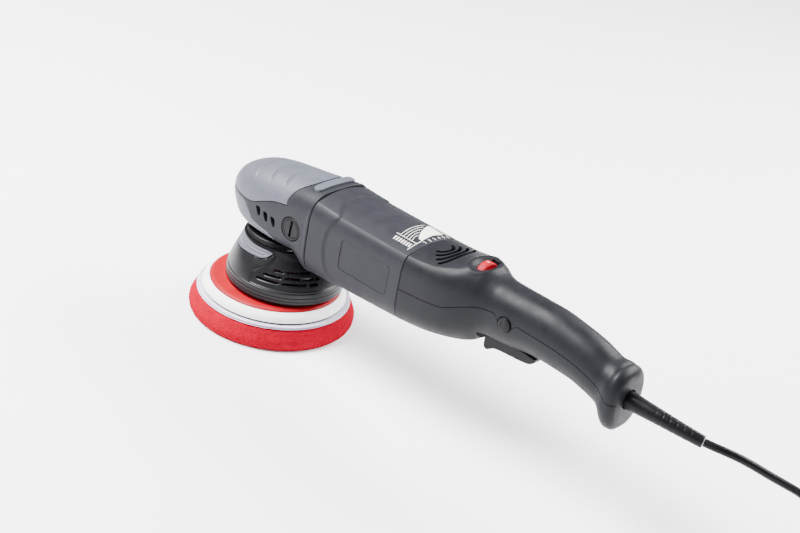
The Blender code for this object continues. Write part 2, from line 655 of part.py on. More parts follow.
def bevel_gear(name, teeth, cone_angle, large, small, bore, back, axis, toward, phase, colour):
    """A bevel gear whose cone has its tip where the two shafts cross.

    large and small are the teeth's outer and inner distances from that tip, back is the flat back's distance
    along the axis, toward is which way the gear lies from the tip, and phase turns one tooth to an angle.
    """
    first, second, along = axis_frame(axis)
    tip_angle = cone_angle + ADDENDUM / large
    root_angle = cone_angle - DEDENDUM / large
    pitch = 2 * math.pi / teeth
    steps = [(-0.25, root_angle), (-0.11, tip_angle), (0.11, tip_angle), (0.25, root_angle)]
    rings = []
    for distance in (large, small):
        ring = []
        for tooth in range(teeth):
            for share, angle in steps:
                turn = phase + (tooth + share) * pitch
                point = [0.0, 0.0, 0.0]
                point[first] = distance * math.sin(angle) * math.cos(turn)
                point[second] = distance * math.sin(angle) * math.sin(turn)
                point[along] = toward * distance * math.cos(angle)
                ring.append(point)
        rings.append(np.array(ring))
    turns = np.array([phase + (tooth + share) * pitch for tooth in range(teeth) for share, _ in steps])
    small_end = small * math.cos(root_angle)
    for radius, height in ((bore, small_end), (bore, back)):
        ring = np.zeros((len(turns), 3))
        ring[:, first] = radius * np.cos(turns)
        ring[:, second] = radius * np.sin(turns)
        ring[:, along] = toward * height
        rings.append(ring)
    rings = [ring + (0, 0, MOTOR_HEIGHT) for ring in rings]
    return tube(name, rings, colour)


def drive():
    """Bevel gears, the spindle and its bearings, and the counterweight that carries the orbiting axis."""
    cone = math.atan(PINION_TEETH / GEAR_TEETH)
    bevel_gear("drive_pinion", PINION_TEETH, cone, 24.6, 18.0, 2.7, 27.5, "X", 1, -math.pi / 2, "steel")
    bevel_gear("driven_gear", GEAR_TEETH, math.pi / 2 - cone, 24.6, 18.0, 9.3, 12.0, "Z", -1,
               math.pi / GEAR_TEETH, "steel")
    turned("drive_spindle", [(4.0, 128.5), (4.0, 118), (6.5, 118), (6.5, 108), (9.0, 106), (9.0, 93.5), (11.5, 93.5),
                             (11.5, 90.3), (9.0, 90.3), (9.0, 65.3), (9.0, 64.8)], "steel")
    washer("spindle_upper_bearing", 4.3, 11.0, 120.3, 127.3, "steel")
    washer("spindle_lower_bearing", 9.3, 23.0, 82.0, 90.0, "steel")
    washer("bearing_retainer", 13.0, 22.4, 78.0, 81.7, "steel")
    counterweight()
    washer("orbit_bearing", 6.3, 13.0, 46.0, 58.0, "steel", centre=(ORBIT_X, ORBIT_Y, 0))


def counterweight():
    """The eccentric hub, with a heavy segment on the side away from the orbiting axis."""
    hub = turned("counterweight", [(16.0, 45.0), (16.0, 64.5)], "steel", centre=(ORBIT_X, ORBIT_Y, 0))
    heavy = math.radians(ORBIT_PHASE + 180)
    arc = np.linspace(heavy - 1.2, heavy + 1.2, 13)
    outline = [(39.5 * math.cos(a), 39.5 * math.sin(a)) for a in arc]
    outline += [(4.0 * math.cos(a), 4.0 * math.sin(a)) for a in (heavy + 2.2, heavy - 2.2)]
    segment = loft("counterweight_segment", [np.array([(x, y, z) for x, y in outline]) for z in (48.0, 60.0)], "steel")
    boolean(hub, "UNION", segment)
    bearing_seat = turned("orbit_seat", [(13.3, 40.0), (13.3, 58.3)], "steel", centre=(ORBIT_X, ORBIT_Y, 0))
    return cut(hub, bearing_seat)


def motor():
    """The universal motor: field, armature, commutator, brushes, fan and bearings, all on the motor axis."""
    on_axis = {"axis": "X", "centre": (0, 0, MOTOR_HEIGHT)}
    washer("stator_core", 17.0, 28.4, 68, 118, "laminate", count=28, **on_axis)
    washer("field_winding_front", 18.0, 28.0, 60.5, 67.7, "copper", **on_axis)
    washer("field_winding_rear", 18.0, 28.0, 118.3, 126, "copper", **on_axis)
    washer("fan_baffle", 20.0, 30.5, 58.3, 59.8, "black", **on_axis)
    washer("front_bearing_plate", 13.3, 30.2, 36.0, 42.0, "laminate", count=28, **on_axis)
    washer("front_motor_bearing", 5.3, 13.0, 35.0, 43.0, "steel", **on_axis)
    washer("rear_motor_bearing", 4.3, 11.0, 143.5, 150.5, "steel", **on_axis)
    turned("armature_shaft", [(2.4, 17.0), (2.4, 28.0), (5.0, 28.0), (5.0, 139.5), (4.0, 139.5), (4.0, 152)], "steel",
           count=16, **on_axis)
    washer("armature_core", 5.3, 15.8, 68, 118, "laminate", **on_axis)
    washer("armature_winding_front", 5.3, 13.8, 60.5, 67.7, "copper", **on_axis)
    washer("armature_winding_rear", 5.3, 13.8, 118.3, 126, "copper", **on_axis)
    washer("commutator", 5.3, 10.0, 126.3, 139.2, "copper", **on_axis)
    fan = [(5.3, 46.5), (28.0, 55.8), (28.0, 57.6), (5.3, 57.6)]
    tube("cooling_fan", [circle(r, x, count=28, **on_axis) for r, x in fan], "black")
    for side, name in ((-1, "left"), (1, "right")):
        low, high = sorted((side * 10.4, side * 22.0))
        block(f"carbon_brush_{name}", (129.5, low, MOTOR_HEIGHT - 3.5), (136.5, high, MOTOR_HEIGHT + 3.5), "carbon")
        brush_holder(f"brush_holder_{name}", side)


def brush_holder(name, side):
    """The square brass tube that a brush slides in."""
    loops = []
    for reach, half in ((13.5, 5.0), (28.0, 5.0), (28.0, 3.9), (13.5, 3.9)):
        corners = ((-half, -half), (half, -half), (half, half), (-half, half))
        loops.append(np.array([(133.0 + x, side * reach, MOTOR_HEIGHT + z) for x, z in corners]))
    return tube(name, loops, "brass")


# ---------------------------------------------------------------- plate and pad

def pad_stack():
    """Orbiting spindle, backing plate, its cushion and hook face, and the foam pad."""
    on_orbit = {"centre": (ORBIT_X, ORBIT_Y, 0)}
    turned("pad_spindle", [(6.0, 58.2), (6.0, 43.2), (9.5, 43.2), (9.5, 38.5), (4.0, 38.5), (4.0, 28.0)], "steel",
           **on_orbit)
    plate = [(4.3, 27.0), (4.3, 38.2), (12.0, 38.2), (16.0, 35.5), (52.0, 34.6), (RED_DISC_RADIUS, RED_DISC_TOP),
             (RED_DISC_RADIUS, 27.0)]
    tube("backing_plate", [circle(r, z, count=40, **on_orbit) for r, z in plate], "red")
    cushion = [(0.5, 25.3), (0.5, 26.7), (RED_DISC_RADIUS + GAP, 26.7), (RED_DISC_RADIUS + GAP, RED_DISC_TOP - 0.3),
               (58.5, RED_DISC_TOP - 1.2), (61.4, 29.5), (PLATE_RADIUS, 25.3)]
    tube("plate_cushion", [circle(r, z, count=40, **on_orbit) for r, z in cushion], "white")
    turned("hook_layer", [(PLATE_RADIUS - 0.3, 25.0), (PLATE_RADIUS - 0.3, 23.9)], "black", count=40, **on_orbit)
    turned("pad_loop", [(LOOP_RADIUS, 23.6), (LOOP_RADIUS, 21.9)], "loop", count=40, **on_orbit)
    foam = [(LOOP_RADIUS + 0.2, FOAM_TOP), (69.4, 15.6), (FOAM_RADIUS - 0.4, 11.5), (FOAM_RADIUS, 8.8),
            (FOAM_RADIUS - 0.4, 6.0), (70.2, 3.5), (69.2, SETTLE)]
    turned("foam_pad", foam, "foam", count=40, **on_orbit)


# ---------------------------------------------------------------- cord

def smooth_route(points, count):
    """Points along a smooth curve through a route's points, evenly spaced."""
    points = np.array(points, dtype=float)
    ends = np.concatenate([[2 * points[0] - points[1]], points, [2 * points[-1] - points[-2]]])
    fine = []
    for k in range(1, len(ends) - 2):
        before, start, stop, after = ends[k - 1:k + 3]
        for t in np.linspace(0, 1, 20, endpoint=False):
            fine.append(0.5 * (2 * start + (stop - before) * t + (2 * before - 5 * start + 4 * stop - after) * t ** 2
                               + (3 * start - before - 3 * stop + after) * t ** 3))
    fine = np.array(fine + [points[-1]])
    lengths = np.concatenate([[0], np.cumsum(np.linalg.norm(np.diff(fine, axis=0), axis=1))])
    at = np.linspace(0, lengths[-1], count)
    return np.stack([np.interp(at, lengths, fine[:, k]) for k in range(3)], axis=1)


def cord_tube(name, route, count):
    """A length of cord along a smooth curve through a route."""
    curve = bpy.data.curves.new(name, "CURVE")
    curve.dimensions = "3D"
    curve.bevel_depth = CORD_DIAMETER / 2 * MM
    curve.bevel_resolution = 2
    curve.use_fill_caps = True
    spline = curve.splines.new("POLY")
    points = smooth_route(route, count)
    spline.points.add(len(points) - 1)
    for slot, (x, y, z) in zip(spline.points, points):
        slot.co = (x * MM, y * MM, (z - SETTLE) * MM, 1.0)
    curve.materials.append(material(name, *PALETTE["black"]))
    bpy.context.scene.collection.objects.link(bpy.data.objects.new(name, curve))


def swept(name, rows, colour, count=16):
    """A round solid through sections across a path, each row x, y, z and radius."""
    table = np.array(rows, dtype=float)
    centres = table[:, :3]
    tangents = np.gradient(centres, axis=0)
    rings = []
    angles = np.arange(count) * 2 * math.pi / count
    for centre, tangent, radius in zip(centres, tangents, table[:, 3]):
        tangent /= np.linalg.norm(tangent)
        across = np.cross((0, 0, 1), tangent)
        across /= np.linalg.norm(across)
        up = np.cross(tangent, across)
        rings.append(centre + radius * (np.outer(np.cos(angles), across) + np.outer(np.sin(angles), up)))
    loft(name, rings, colour)


def cord():
    """The strain relief, the free run of the cord, its stored coil, the tie, the tail and the plug."""
    # x, y, z and radius of the sleeve's sections; the wide ones lie inside the end wall
    relief = [(337.8, 0, 104.9, 10.0), (341.6, 0, 104.9, 10.0), (341.7, 0, 104.9, 7.6), (352, 0, 104.9, 7.1),
              (361, 0.6, 104.5, 6.6), (376, 2.2, 103.6, 5.9), (393, 4.8, 102.0, 5.3), (407.6, 7.8, 100.4, 4.8),
              (409.6, 8.25, 100.25, 4.8)]
    swept("strain_relief", relief, "black")
    cord_tube("power_cord", CORD_ROUTE, 15)
    cord_tube("cord_tail", TAIL_ROUTE, 9)
    half = COIL_BUNDLE
    low = SETTLE + TIE_THICKNESS + GAP
    high = low + 2 * half
    coil = [(-half, low + 4), (4 - half, low), (half - 4, low), (half, low + 4), (half, high - 4), (half - 4, high),
            (4 - half, high), (-half, high - 4)]
    centre = (*COIL_CENTRE, 0)
    tube("cord_coil", [circle(COIL_RADIUS + r, z, centre=centre, count=32) for r, z in coil], "black")
    tie(low, high)
    plug()


def tie(low, high):
    """The strap round the coil's bundle."""
    turn = math.radians(TIE_DIRECTION)
    outward = np.array([math.cos(turn), math.sin(turn), 0])
    along = np.array([-math.sin(turn), math.cos(turn), 0])
    centre = np.array([*COIL_CENTRE, (low + high) / 2]) + COIL_RADIUS * outward
    rings = []
    for thickness, side in ((0, -1), (0, 1), (TIE_THICKNESS, 1), (TIE_THICKNESS, -1)):
        across = COIL_BUNDLE + TIE_SLACK + thickness
        up = COIL_BUNDLE + GAP + thickness
        corners = [(-across, 4 - up), (4 - across, -up), (across - 4, -up), (across, 4 - up), (across, up - 4),
                   (across - 4, up), (4 - across, up), (-across, up - 4)]
        shift = centre + side * TIE_WIDTH / 2 * along
        rings.append(np.array([shift + out * outward + (0, 0, rise) for out, rise in corners]))
    tube("cord_tie", rings, "charcoal")


def plug():
    """A moulded two-pin plug lying beside the coil, its pins pointing along -X."""
    x, y = PLUG_REAR
    outline = [(0, 5.0), (6, 6.0), (30, 7.5), (36, 11.5), (46, 11.5)]
    rings = []
    for along, half in outline:
        corners = ((-1, 0.15), (-0.7, 0), (0.7, 0), (1, 0.15), (1, 0.85), (0.7, 1), (-0.7, 1), (-1, 0.85))
        height = min(2 * half, 16)
        low = SETTLE + 8 - height / 2
        rings.append(np.array([(x - along, y + half * a, low + height * b) for a, b in corners]))
    body = loft("power_plug", rings, "black")
    for side in (-1, 1):
        pin = turned(f"plug_pin_{side}", [(2.2, x - 66), (2.2, x - 43)], "steel", axis="X",
                     centre=(0, y + side * 7.5, SETTLE + 8), count=12)
        boolean(body, "UNION", pin)


# ---------------------------------------------------------------- the whole polisher

# Where each moving piece's origin lies: on its joint's axis
PIVOTS = {
    "motor": (0, 0, MOTOR_HEIGHT),
    "pad": (ORBIT_X, ORBIT_Y, SETTLE),
    "trigger": (TRIGGER_PIVOT[0], 0, TRIGGER_PIVOT[1]),
    "button": (BUTTON_X, 0, BUTTON_Z),
    "dial": (DIAL_X, 0, DIAL_Z),
}
MOVING = {
    "motor": ("armature_shaft", "armature_core", "armature_winding_front", "armature_winding_rear", "commutator",
              "cooling_fan", "drive_pinion"),
    "pad": ("pad_spindle", "backing_plate", "plate_cushion", "hook_layer", "pad_loop", "foam_pad"),
    "trigger": ("trigger",),
    "button": ("lock_button",),
    "dial": ("speed_dial",),
}


def set_origins():
    """Move each moving piece's origin onto its joint's axis without moving its shape."""
    for group, names in MOVING.items():
        x, y, z = PIVOTS[group]
        pivot = Vector((x, y, z - SETTLE)) * MM
        for name in names:
            piece = bpy.data.objects[name]
            piece.data.transform(Matrix.Translation(-pivot))
            piece.location = pivot


def clear_scene():
    for old in list(bpy.data.objects):
        bpy.data.objects.remove(old, do_unlink=True)


def build():
    clear_scene()
    gear_head()
    head_fittings()
    shroud()
    shroud_insert()
    motor_housing()
    label_plates()
    rear_shells()
    controls()
    drive()
    motor()
    pad_stack()
    cord()
    set_origins()


build()
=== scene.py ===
"""The finished look of a dual action polisher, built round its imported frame.

Tables and dimensions are in millimetres, in the polisher's own design coordinates: the origin is on the drive
spindle's axis, +X runs back to the handle, and heights are measured from a datum SETTLE below the pad's working
face. world() turns them into the frame's metres.
"""
import math

import bpy
import numpy as np
from mathutils import Matrix, Vector, noise

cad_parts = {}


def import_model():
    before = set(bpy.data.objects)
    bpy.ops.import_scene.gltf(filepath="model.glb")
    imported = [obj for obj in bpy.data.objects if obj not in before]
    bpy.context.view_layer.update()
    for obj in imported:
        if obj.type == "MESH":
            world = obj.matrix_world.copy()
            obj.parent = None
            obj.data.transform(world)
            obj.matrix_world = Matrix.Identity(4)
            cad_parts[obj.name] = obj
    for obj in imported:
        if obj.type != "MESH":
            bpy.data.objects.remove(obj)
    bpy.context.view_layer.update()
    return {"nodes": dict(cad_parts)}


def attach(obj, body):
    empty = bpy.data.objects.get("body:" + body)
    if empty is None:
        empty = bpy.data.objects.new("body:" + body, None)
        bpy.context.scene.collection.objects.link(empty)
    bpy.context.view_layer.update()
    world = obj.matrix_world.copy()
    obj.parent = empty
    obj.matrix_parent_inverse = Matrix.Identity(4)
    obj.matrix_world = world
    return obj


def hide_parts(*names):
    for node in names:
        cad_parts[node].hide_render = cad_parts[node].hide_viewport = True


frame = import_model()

MM = 0.001
SETTLE = 3.0                    # how far the tool's weight presses the foam

# Driving dimensions, the same as the design's
THROW = 15.0
ORBIT_PHASE = 220.0
FOAM_TOP = 21.6
PLATE_RADIUS = 62.5
RED_DISC_RADIUS = 56.4
NECK_HEIGHT = 82.0
MOTOR_HEIGHT = 108.0
WALL = 3.0
GAP = 0.3
HEAD_SEAM = 48.4
REAR_SEAM = 148.4
ORBIT_X = THROW / 2 * math.cos(math.radians(ORBIT_PHASE))
ORBIT_Y = THROW / 2 * math.sin(math.radians(ORBIT_PHASE))

CORD_DIAMETER = 6.4
COIL_CENTRE = (559.0, 105.0)
COIL_RADIUS = 38.4
COIL_BUNDLE = 12.9
TIE_THICKNESS = 1.2


def world(points):
    """Design millimetres as the frame's metres."""
    return (np.asarray(points, dtype=float) - (0, 0, SETTLE)) * MM


# ---------------------------------------------------------------- camera, floor and light

CAMERA_PLACE = (0.8153, -0.9030, 0.6850)
CAMERA_AZIMUTH = 37.57          # where the camera stands round the object, degrees
CAMERA_ELEVATION = 27.10
CAMERA_ROLL = 10.85             # carries the tool's lean on its soft pad


def camera():
    azimuth, elevation, roll = map(math.radians, (CAMERA_AZIMUTH, CAMERA_ELEVATION, CAMERA_ROLL))
    back = Vector((math.sin(azimuth) * math.cos(elevation), -math.cos(azimuth) * math.cos(elevation),
                   math.sin(elevation)))
    right = (-back).cross(Vector((0, 0, 1))).normalized()
    down = (-back).cross(right)
    across = math.cos(roll) * right - math.sin(roll) * down
    below = math.sin(roll) * right + math.cos(roll) * down
    data = bpy.data.cameras.new("camera")
    data.lens = 72
    data.sensor_width = 36
    made = bpy.data.objects.new("camera", data)
    turn = Matrix((across, -below, back)).transposed().to_4x4()
    made.matrix_world = Matrix.Translation(CAMERA_PLACE) @ turn
    bpy.context.scene.collection.objects.link(made)
    bpy.context.scene.camera = made


def area_light(name, place, target, size, power, colour=(1, 1, 1)):
    data = bpy.data.lights.new(name, "AREA")
    data.shape = "RECTANGLE"
    data.size, data.size_y = size
    data.energy = power
    data.color = colour
    made = bpy.data.objects.new(name, data)
    made.location = place
    made.rotation_euler = (Vector(target) - Vector(place)).to_track_quat("-Z", "Y").to_euler()
    bpy.context.scene.collection.objects.link(made)


def studio():
    """A pale floor, a soft key from above the head's side, a fill and a rim, in a pale room."""
    bpy.ops.mesh.primitive_plane_add(size=6, location=(0.2, 0, 0))
    floor = bpy.context.object
    floor.name = "floor"
    finish = bpy.data.materials.new("floor_paper")
    finish.use_nodes = True
    shader = finish.node_tree.nodes["Principled BSDF"]
    shader.inputs["Base Color"].default_value = (0.93, 0.925, 0.94, 1)
    shader.inputs["Roughness"].default_value = 0.85
    floor.data.materials.append(finish)
    world_data = bpy.data.worlds.new("room")
    world_data.use_nodes = True
    world_data.node_tree.nodes["Background"].inputs["Color"].default_value = (0.93, 0.94, 1.0, 1)
    world_data.node_tree.nodes["Background"].inputs["Strength"].default_value = 0.5
    bpy.context.scene.world = world_data
    area_light("key", (-0.7, -0.5, 1.5), (0.1, 0, 0.1), (1.1, 0.9), 190)
    area_light("fill", (0.9, -1.4, 0.6), (0.1, 0, 0.08), (1.0, 0.7), 3)
    area_light("rim", (0.7, 1.2, 1.0), (0.2, 0, 0.1), (1.4, 0.5), 80)


# ---------------------------------------------------------------- materials

def node(tree, kind, **inputs):
    """A new node with some of its inputs set, or linked where the value is another node's output."""
    made = tree.nodes.new(kind)
    for key, value in inputs.items():
        socket = made.inputs[key.replace("_", " ")]
        if isinstance(value, bpy.types.NodeSocket):
            tree.links.new(value, socket)
        else:
            socket.default_value = value
    return made


def blended(tree, factor, first, second):
    """A colour mixed between two by a factor's output."""
    mix = tree.nodes.new("ShaderNodeMix")
    mix.data_type = "RGBA"
    tree.links.new(factor, mix.inputs["Factor"])
    for slot, colour in (("A", first), ("B", second)):
        socket = mix.inputs[[i for i, s in enumerate(mix.inputs) if s.name == slot and s.type == "RGBA"][0]]
        if isinstance(colour, bpy.types.NodeSocket):
            tree.links.new(colour, socket)
        else:
            socket.default_value = (*colour, 1)
    return [s for s in mix.outputs if s.type == "RGBA"][0]


def ranged(tree, value, low, high, start=0.3, stop=0.7):
    """A value's output mapped from start..stop to low..high."""
    return node(tree, "ShaderNodeMapRange", Value=value, From_Min=start, From_Max=stop, To_Min=low,
                To_Max=high).outputs["Result"]


MATERIALS = {}


WAVE_RATE = 20.0                # radians of a wave texture's bands for each unit of its scaled coordinate


def material(name, colour, roughness, metallic=0.0, mottle=0.08, spread=0.06, grain=0.35, relief=0.02,
             kind="noise", wear=0.0, sheen=0.0, specular=0.5, pattern=None, second=None):
    """A procedural finish.

    mottle is how far the colour drifts over a few millimetres, spread the same for the roughness, grain
    the size in millimetres of the fine texture and relief its height. wear lightens raised edges. pattern
    is the pitch in millimetres for each radian of a wave and the axis of the bands, which alternate with
    the second colour.
    """
    if name in MATERIALS:
        return MATERIALS[name]
    made = bpy.data.materials.new(name)
    made.use_nodes = True
    tree = made.node_tree
    shader = tree.nodes["Principled BSDF"]
    place = tree.nodes.new("ShaderNodeTexCoord").outputs["Object"]
    drift = node(tree, "ShaderNodeTexNoise", Vector=place, Scale=90.0, Detail=4.0).outputs["Fac"]
    fine = node(tree, "ShaderNodeTexNoise", Vector=place, Scale=1000.0 / grain, Detail=2.0).outputs["Fac"]
    darker = tuple(c * (1 - mottle) for c in colour)
    lighter = tuple(min(1.0, c * (1 + mottle)) for c in colour)
    tone = blended(tree, ranged(tree, drift, 0, 1), darker, lighter)
    if pattern:
        pitch, axis = pattern
        wave = tree.nodes.new("ShaderNodeTexWave")
        wave.bands_direction = axis
        wave.inputs["Scale"].default_value = 1000.0 / (WAVE_RATE * pitch)
        tree.links.new(place, wave.inputs["Vector"])
        tone = blended(tree, ranged(tree, wave.outputs["Fac"], 0, 1), tone, second)
    if kind == "cell":
        cells = tree.nodes.new("ShaderNodeTexVoronoi")
        cells.inputs["Scale"].default_value = 1000.0 / grain
        tree.links.new(place, cells.inputs["Vector"])
        height = cells.outputs["Distance"]
        tone = blended(tree, ranged(tree, height, 1, 0, 0.05, 0.45), tone,
                       second or tuple(c * 0.6 for c in colour))
    else:
        height = fine
    if wear:
        edge = tree.nodes.new("ShaderNodeNewGeometry").outputs["Pointiness"]
        worn = tuple(min(1.0, c * 1.6 + 0.02) for c in colour)
        tone = blended(tree, ranged(tree, edge, 0, wear, 0.52, 0.6), tone, worn)
    tree.links.new(tone, shader.inputs["Base Color"])
    tree.links.new(ranged(tree, drift, roughness - spread, roughness + spread), shader.inputs["Roughness"])
    bump = node(tree, "ShaderNodeBump", Height=height, Strength=1.0, Distance=relief * MM)
    tree.links.new(bump.outputs["Normal"], shader.inputs["Normal"])
    shader.inputs["Metallic"].default_value = metallic
    shader.inputs["Specular IOR Level"].default_value = specular
    shader.inputs["Sheen Weight"].default_value = sheen
    shader.inputs["Sheen Roughness"].default_value = 0.4
    MATERIALS[name] = made
    return made


def housing_plastic():
    return material("housing_plastic", (0.0125, 0.013, 0.0165), 0.5, grain=0.55, relief=0.03, specular=0.14)


def handle_plastic():
    return material("handle_plastic", (0.0062, 0.0065, 0.0086), 0.47, grain=0.5, relief=0.025, specular=0.13)


def gloss_plastic():
    return material("gloss_plastic", (0.0036, 0.0036, 0.0045), 0.36, grain=0.8, relief=0.004, mottle=0.04,
                    spread=0.03, specular=0.22)


def dark_plastic():
    return material("dark_plastic", (0.0035, 0.0035, 0.0044), 0.46, grain=0.4, relief=0.015, specular=0.14)


def grey_rubber():
    return material("soft_grey_rubber", (0.058, 0.062, 0.079), 0.52, mottle=0.05, grain=0.35, relief=0.02,
                    wear=0.15, specular=0.35)


def black_rubber():
    return material("black_rubber", (0.0025, 0.0025, 0.0034), 0.4, grain=0.5, relief=0.01, mottle=0.2,
                    specular=0.12)


def red_plastic():
    return material("red_plastic", (0.28, 0.0006, 0.007), 0.5, grain=0.5, relief=0.012, specular=0.12)


def white_cushion():
    return material("white_cushion", (0.9, 0.9, 0.885), 0.6, mottle=0.03, grain=0.9, relief=0.06, kind="cell",
                    second=(0.72, 0.72, 0.72))


def foam():
    return material("red_foam", (0.30, 0.0004, 0.014), 0.9, mottle=0.08, grain=1.1, relief=0.35, kind="cell",
                    second=(0.25, 0.0004, 0.006), specular=0.02)


def loop_cloth():
    return material("loop_cloth", (0.60, 0.55, 0.70), 0.92, mottle=0.12, grain=0.6, relief=0.3, kind="cell",
                    second=(0.78, 0.75, 0.84), sheen=0.5, specular=0.1)


def hook_cloth():
    return material("hook_cloth", (0.02, 0.02, 0.022), 0.8, grain=0.5, relief=0.15, kind="cell", specular=0.2)


def steel():
    return material("machined_steel", (0.52, 0.52, 0.54), 0.3, metallic=1.0, mottle=0.1, grain=0.3, relief=0.01)


def laminate():
    return material("laminated_steel", (0.24, 0.24, 0.26), 0.45, metallic=1.0, grain=0.4, relief=0.02,
                    pattern=(1.0, "X"), second=(0.1, 0.1, 0.11))


def copper_winding():
    return material("copper_winding", (0.55, 0.22, 0.09), 0.35, metallic=0.9, grain=0.6, relief=0.12,
                    pattern=(1.2, "Y"), second=(0.28, 0.09, 0.04))


def commutator_copper():
    return material("commutator_copper", (0.62, 0.32, 0.18), 0.3, metallic=1.0, grain=0.4, relief=0.02,
                    pattern=(2.4, "Z"), second=(0.12, 0.06, 0.04))


def brass():
    return material("brass_sheet", (0.66, 0.46, 0.17), 0.32, metallic=1.0, grain=0.4, relief=0.01)


def carbon():
    return material("carbon_block", (0.035, 0.035, 0.036), 0.6, grain=0.3, relief=0.03)


def circuit_board():
    return material("circuit_board", (0.03, 0.16, 0.07), 0.4, grain=0.8, relief=0.02, mottle=0.3,
                    pattern=(3.2, "Y"), second=(0.05, 0.24, 0.1))


def print_ink():
    return material("cream_print", (0.72, 0.71, 0.66), 0.55, mottle=0.04, grain=0.4, relief=0.004)


def label_film():
    return material("label_film", (0.0085, 0.009, 0.0115), 0.42, grain=0.7, relief=0.01, specular=0.15)


# ---------------------------------------------------------------- pieces

def link(name, mesh):
    made = bpy.data.objects.new(name, mesh)
    bpy.context.scene.collection.objects.link(made)
    return made


def mesh_from(name, points, faces):
    mesh = bpy.data.meshes.new(name)
    mesh.from_pydata([tuple(p) for p in world(points)], [], faces)
    mesh.update()
    return mesh


def bridge(rows, count, closed_rows, closed_ring=True):
    """Quads between successive rings of equal count."""
    faces = []
    for row in range(rows if closed_rows else rows - 1):
        low = row * count
        high = (row + 1) % rows * count
        for step in range(count if closed_ring else count - 1):
            after = (step + 1) % count
            faces.append((low + step, low + after, high + after, high + step))
    return faces


def loft(name, rings):
    """A solid through closed rings, with a flat face at each end."""
    count = len(rings[0])
    faces = bridge(len(rings), count, closed_rows=False)
    faces.append(tuple(range(count))[::-1])
    faces.append(tuple(range((len(rings) - 1) * count, len(rings) * count)))
    return outward(link(name, mesh_from(name, np.concatenate(rings), faces)))


def gutter(name, rings):
    """A solid through closed rings that each run along an outer path and back along an inner one."""
    count = len(rings[0])
    faces = bridge(len(rings), count, closed_rows=False)
    last = (len(rings) - 1) * count
    for step in range(count // 2 - 1):
        near = (step, step + 1, count - 2 - step, count - 1 - step)
        faces.append(near[::-1])
        faces.append(tuple(corner + last for corner in near))
    return outward(link(name, mesh_from(name, np.concatenate(rings), faces)))


def tube(name, rings):
    """A ring-shaped solid through closed loops, the last joined to the first."""
    return outward(link(name, mesh_from(name, np.concatenate(rings), bridge(len(rings), len(rings[0]), True))))


def outward(piece):
    """Turn a closed piece's faces outwards."""
    mesh = piece.data
    points = np.array([v.co for v in mesh.vertices])
    mesh.calc_loop_triangles()
    corners = points[np.array([t.vertices for t in mesh.loop_triangles])]
    if np.einsum("ij,ij->i", corners[:, 0], np.cross(corners[:, 1], corners[:, 2])).sum() < 0:
        mesh.flip_normals()
    return piece


def circle(radius, height, axis="Z", centre=(0, 0, 0), count=96):
    """A circle's points at a height along an axis through centre."""
    first, second, along = {"X": (1, 2, 0), "Y": (2, 0, 1), "Z": (0, 1, 2)}[axis]
    angles = np.arange(count) * 2 * math.pi / count
    points = np.tile(np.array(centre, dtype=float), (count, 1))
    points[:, first] += radius * np.cos(angles)
    points[:, second] += radius * np.sin(angles)
    points[:, along] = height
    return points


def turned(name, profile, axis="Z", centre=(0, 0, 0), count=96):
    return loft(name, [circle(radius, height, axis, centre, count) for radius, height in profile])


def turned_ring(name, profile, axis="Z", centre=(0, 0, 0), count=96):
    return tube(name, [circle(radius, height, axis, centre, count) for radius, height in profile])


def block(name, low, high):
    xs, ys, zs = zip(low, high)
    ring = [(xs[0], ys[0]), (xs[1], ys[0]), (xs[1], ys[1]), (xs[0], ys[1])]
    return loft(name, [np.array([(x, y, z) for x, y in ring]) for z in zs])


def prism(name, outline, low, high):
    """A side outline of x, z points extruded along Y."""
    return loft(name, [np.array([(x, y, z) for x, z in outline]) for y in (low, high)])


def settle(piece):
    """Replace a piece's mesh by what its modifiers make of it."""
    graph = bpy.context.evaluated_depsgraph_get()
    graph.update()
    mesh = bpy.data.meshes.new_from_object(piece.evaluated_get(graph), depsgraph=graph)
    piece.modifiers.clear()
    piece.data = mesh
    return piece


def combine(piece, operation, *tools):
    """Cut, join or intersect a piece with tools, which are used up."""
    for tool in tools:
        modifier = piece.modifiers.new(operation, "BOOLEAN")
        modifier.operation = operation
        modifier.object = tool
    settle(piece)
    for tool in tools:
        bpy.data.objects.remove(tool, do_unlink=True)
    return piece


def carve(piece, *tools):
    return combine(piece, "DIFFERENCE", *tools)


def soften(piece, voxel, rounds=4):
    """Remesh a piece evenly and smooth it, which rounds its edges as moulding does. voxel in millimetres."""
    remesh = piece.modifiers.new("remesh", "REMESH")
    remesh.mode = "VOXEL"
    remesh.voxel_size = voxel * MM
    smooth = piece.modifiers.new("smooth", "SMOOTH")
    smooth.factor = 0.5
    smooth.iterations = rounds
    return settle(piece)


def displaced(piece, shift):
    """Move every vertex by shift(points, normals), all in design millimetres."""
    mesh = piece.data
    count = len(mesh.vertices)
    points = np.empty(count * 3)
    mesh.vertices.foreach_get("co", points)
    normals = np.empty(count * 3)
    mesh.vertex_normals.foreach_get("vector", normals)
    places = points.reshape(-1, 3) / MM + (0, 0, SETTLE)
    moved = places + shift(places, normals.reshape(-1, 3))
    mesh.vertices.foreach_set("co", world(moved).ravel())
    mesh.update()
    return piece


def finished(piece, surface, body, slot, *nodes, sharp=32):
    """Give a piece its material and body, and hide the CAD nodes it stands for; slot is not used."""
    mesh = piece.data
    if piece.type == "MESH":
        mesh.shade_smooth()
        mesh.set_sharp_from_angle(angle=math.radians(sharp))
    mesh.materials.clear()
    mesh.materials.append(surface)
    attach(piece, body)
    if nodes:
        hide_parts(*nodes)
    return piece


# ---------------------------------------------------------------- curves and fields

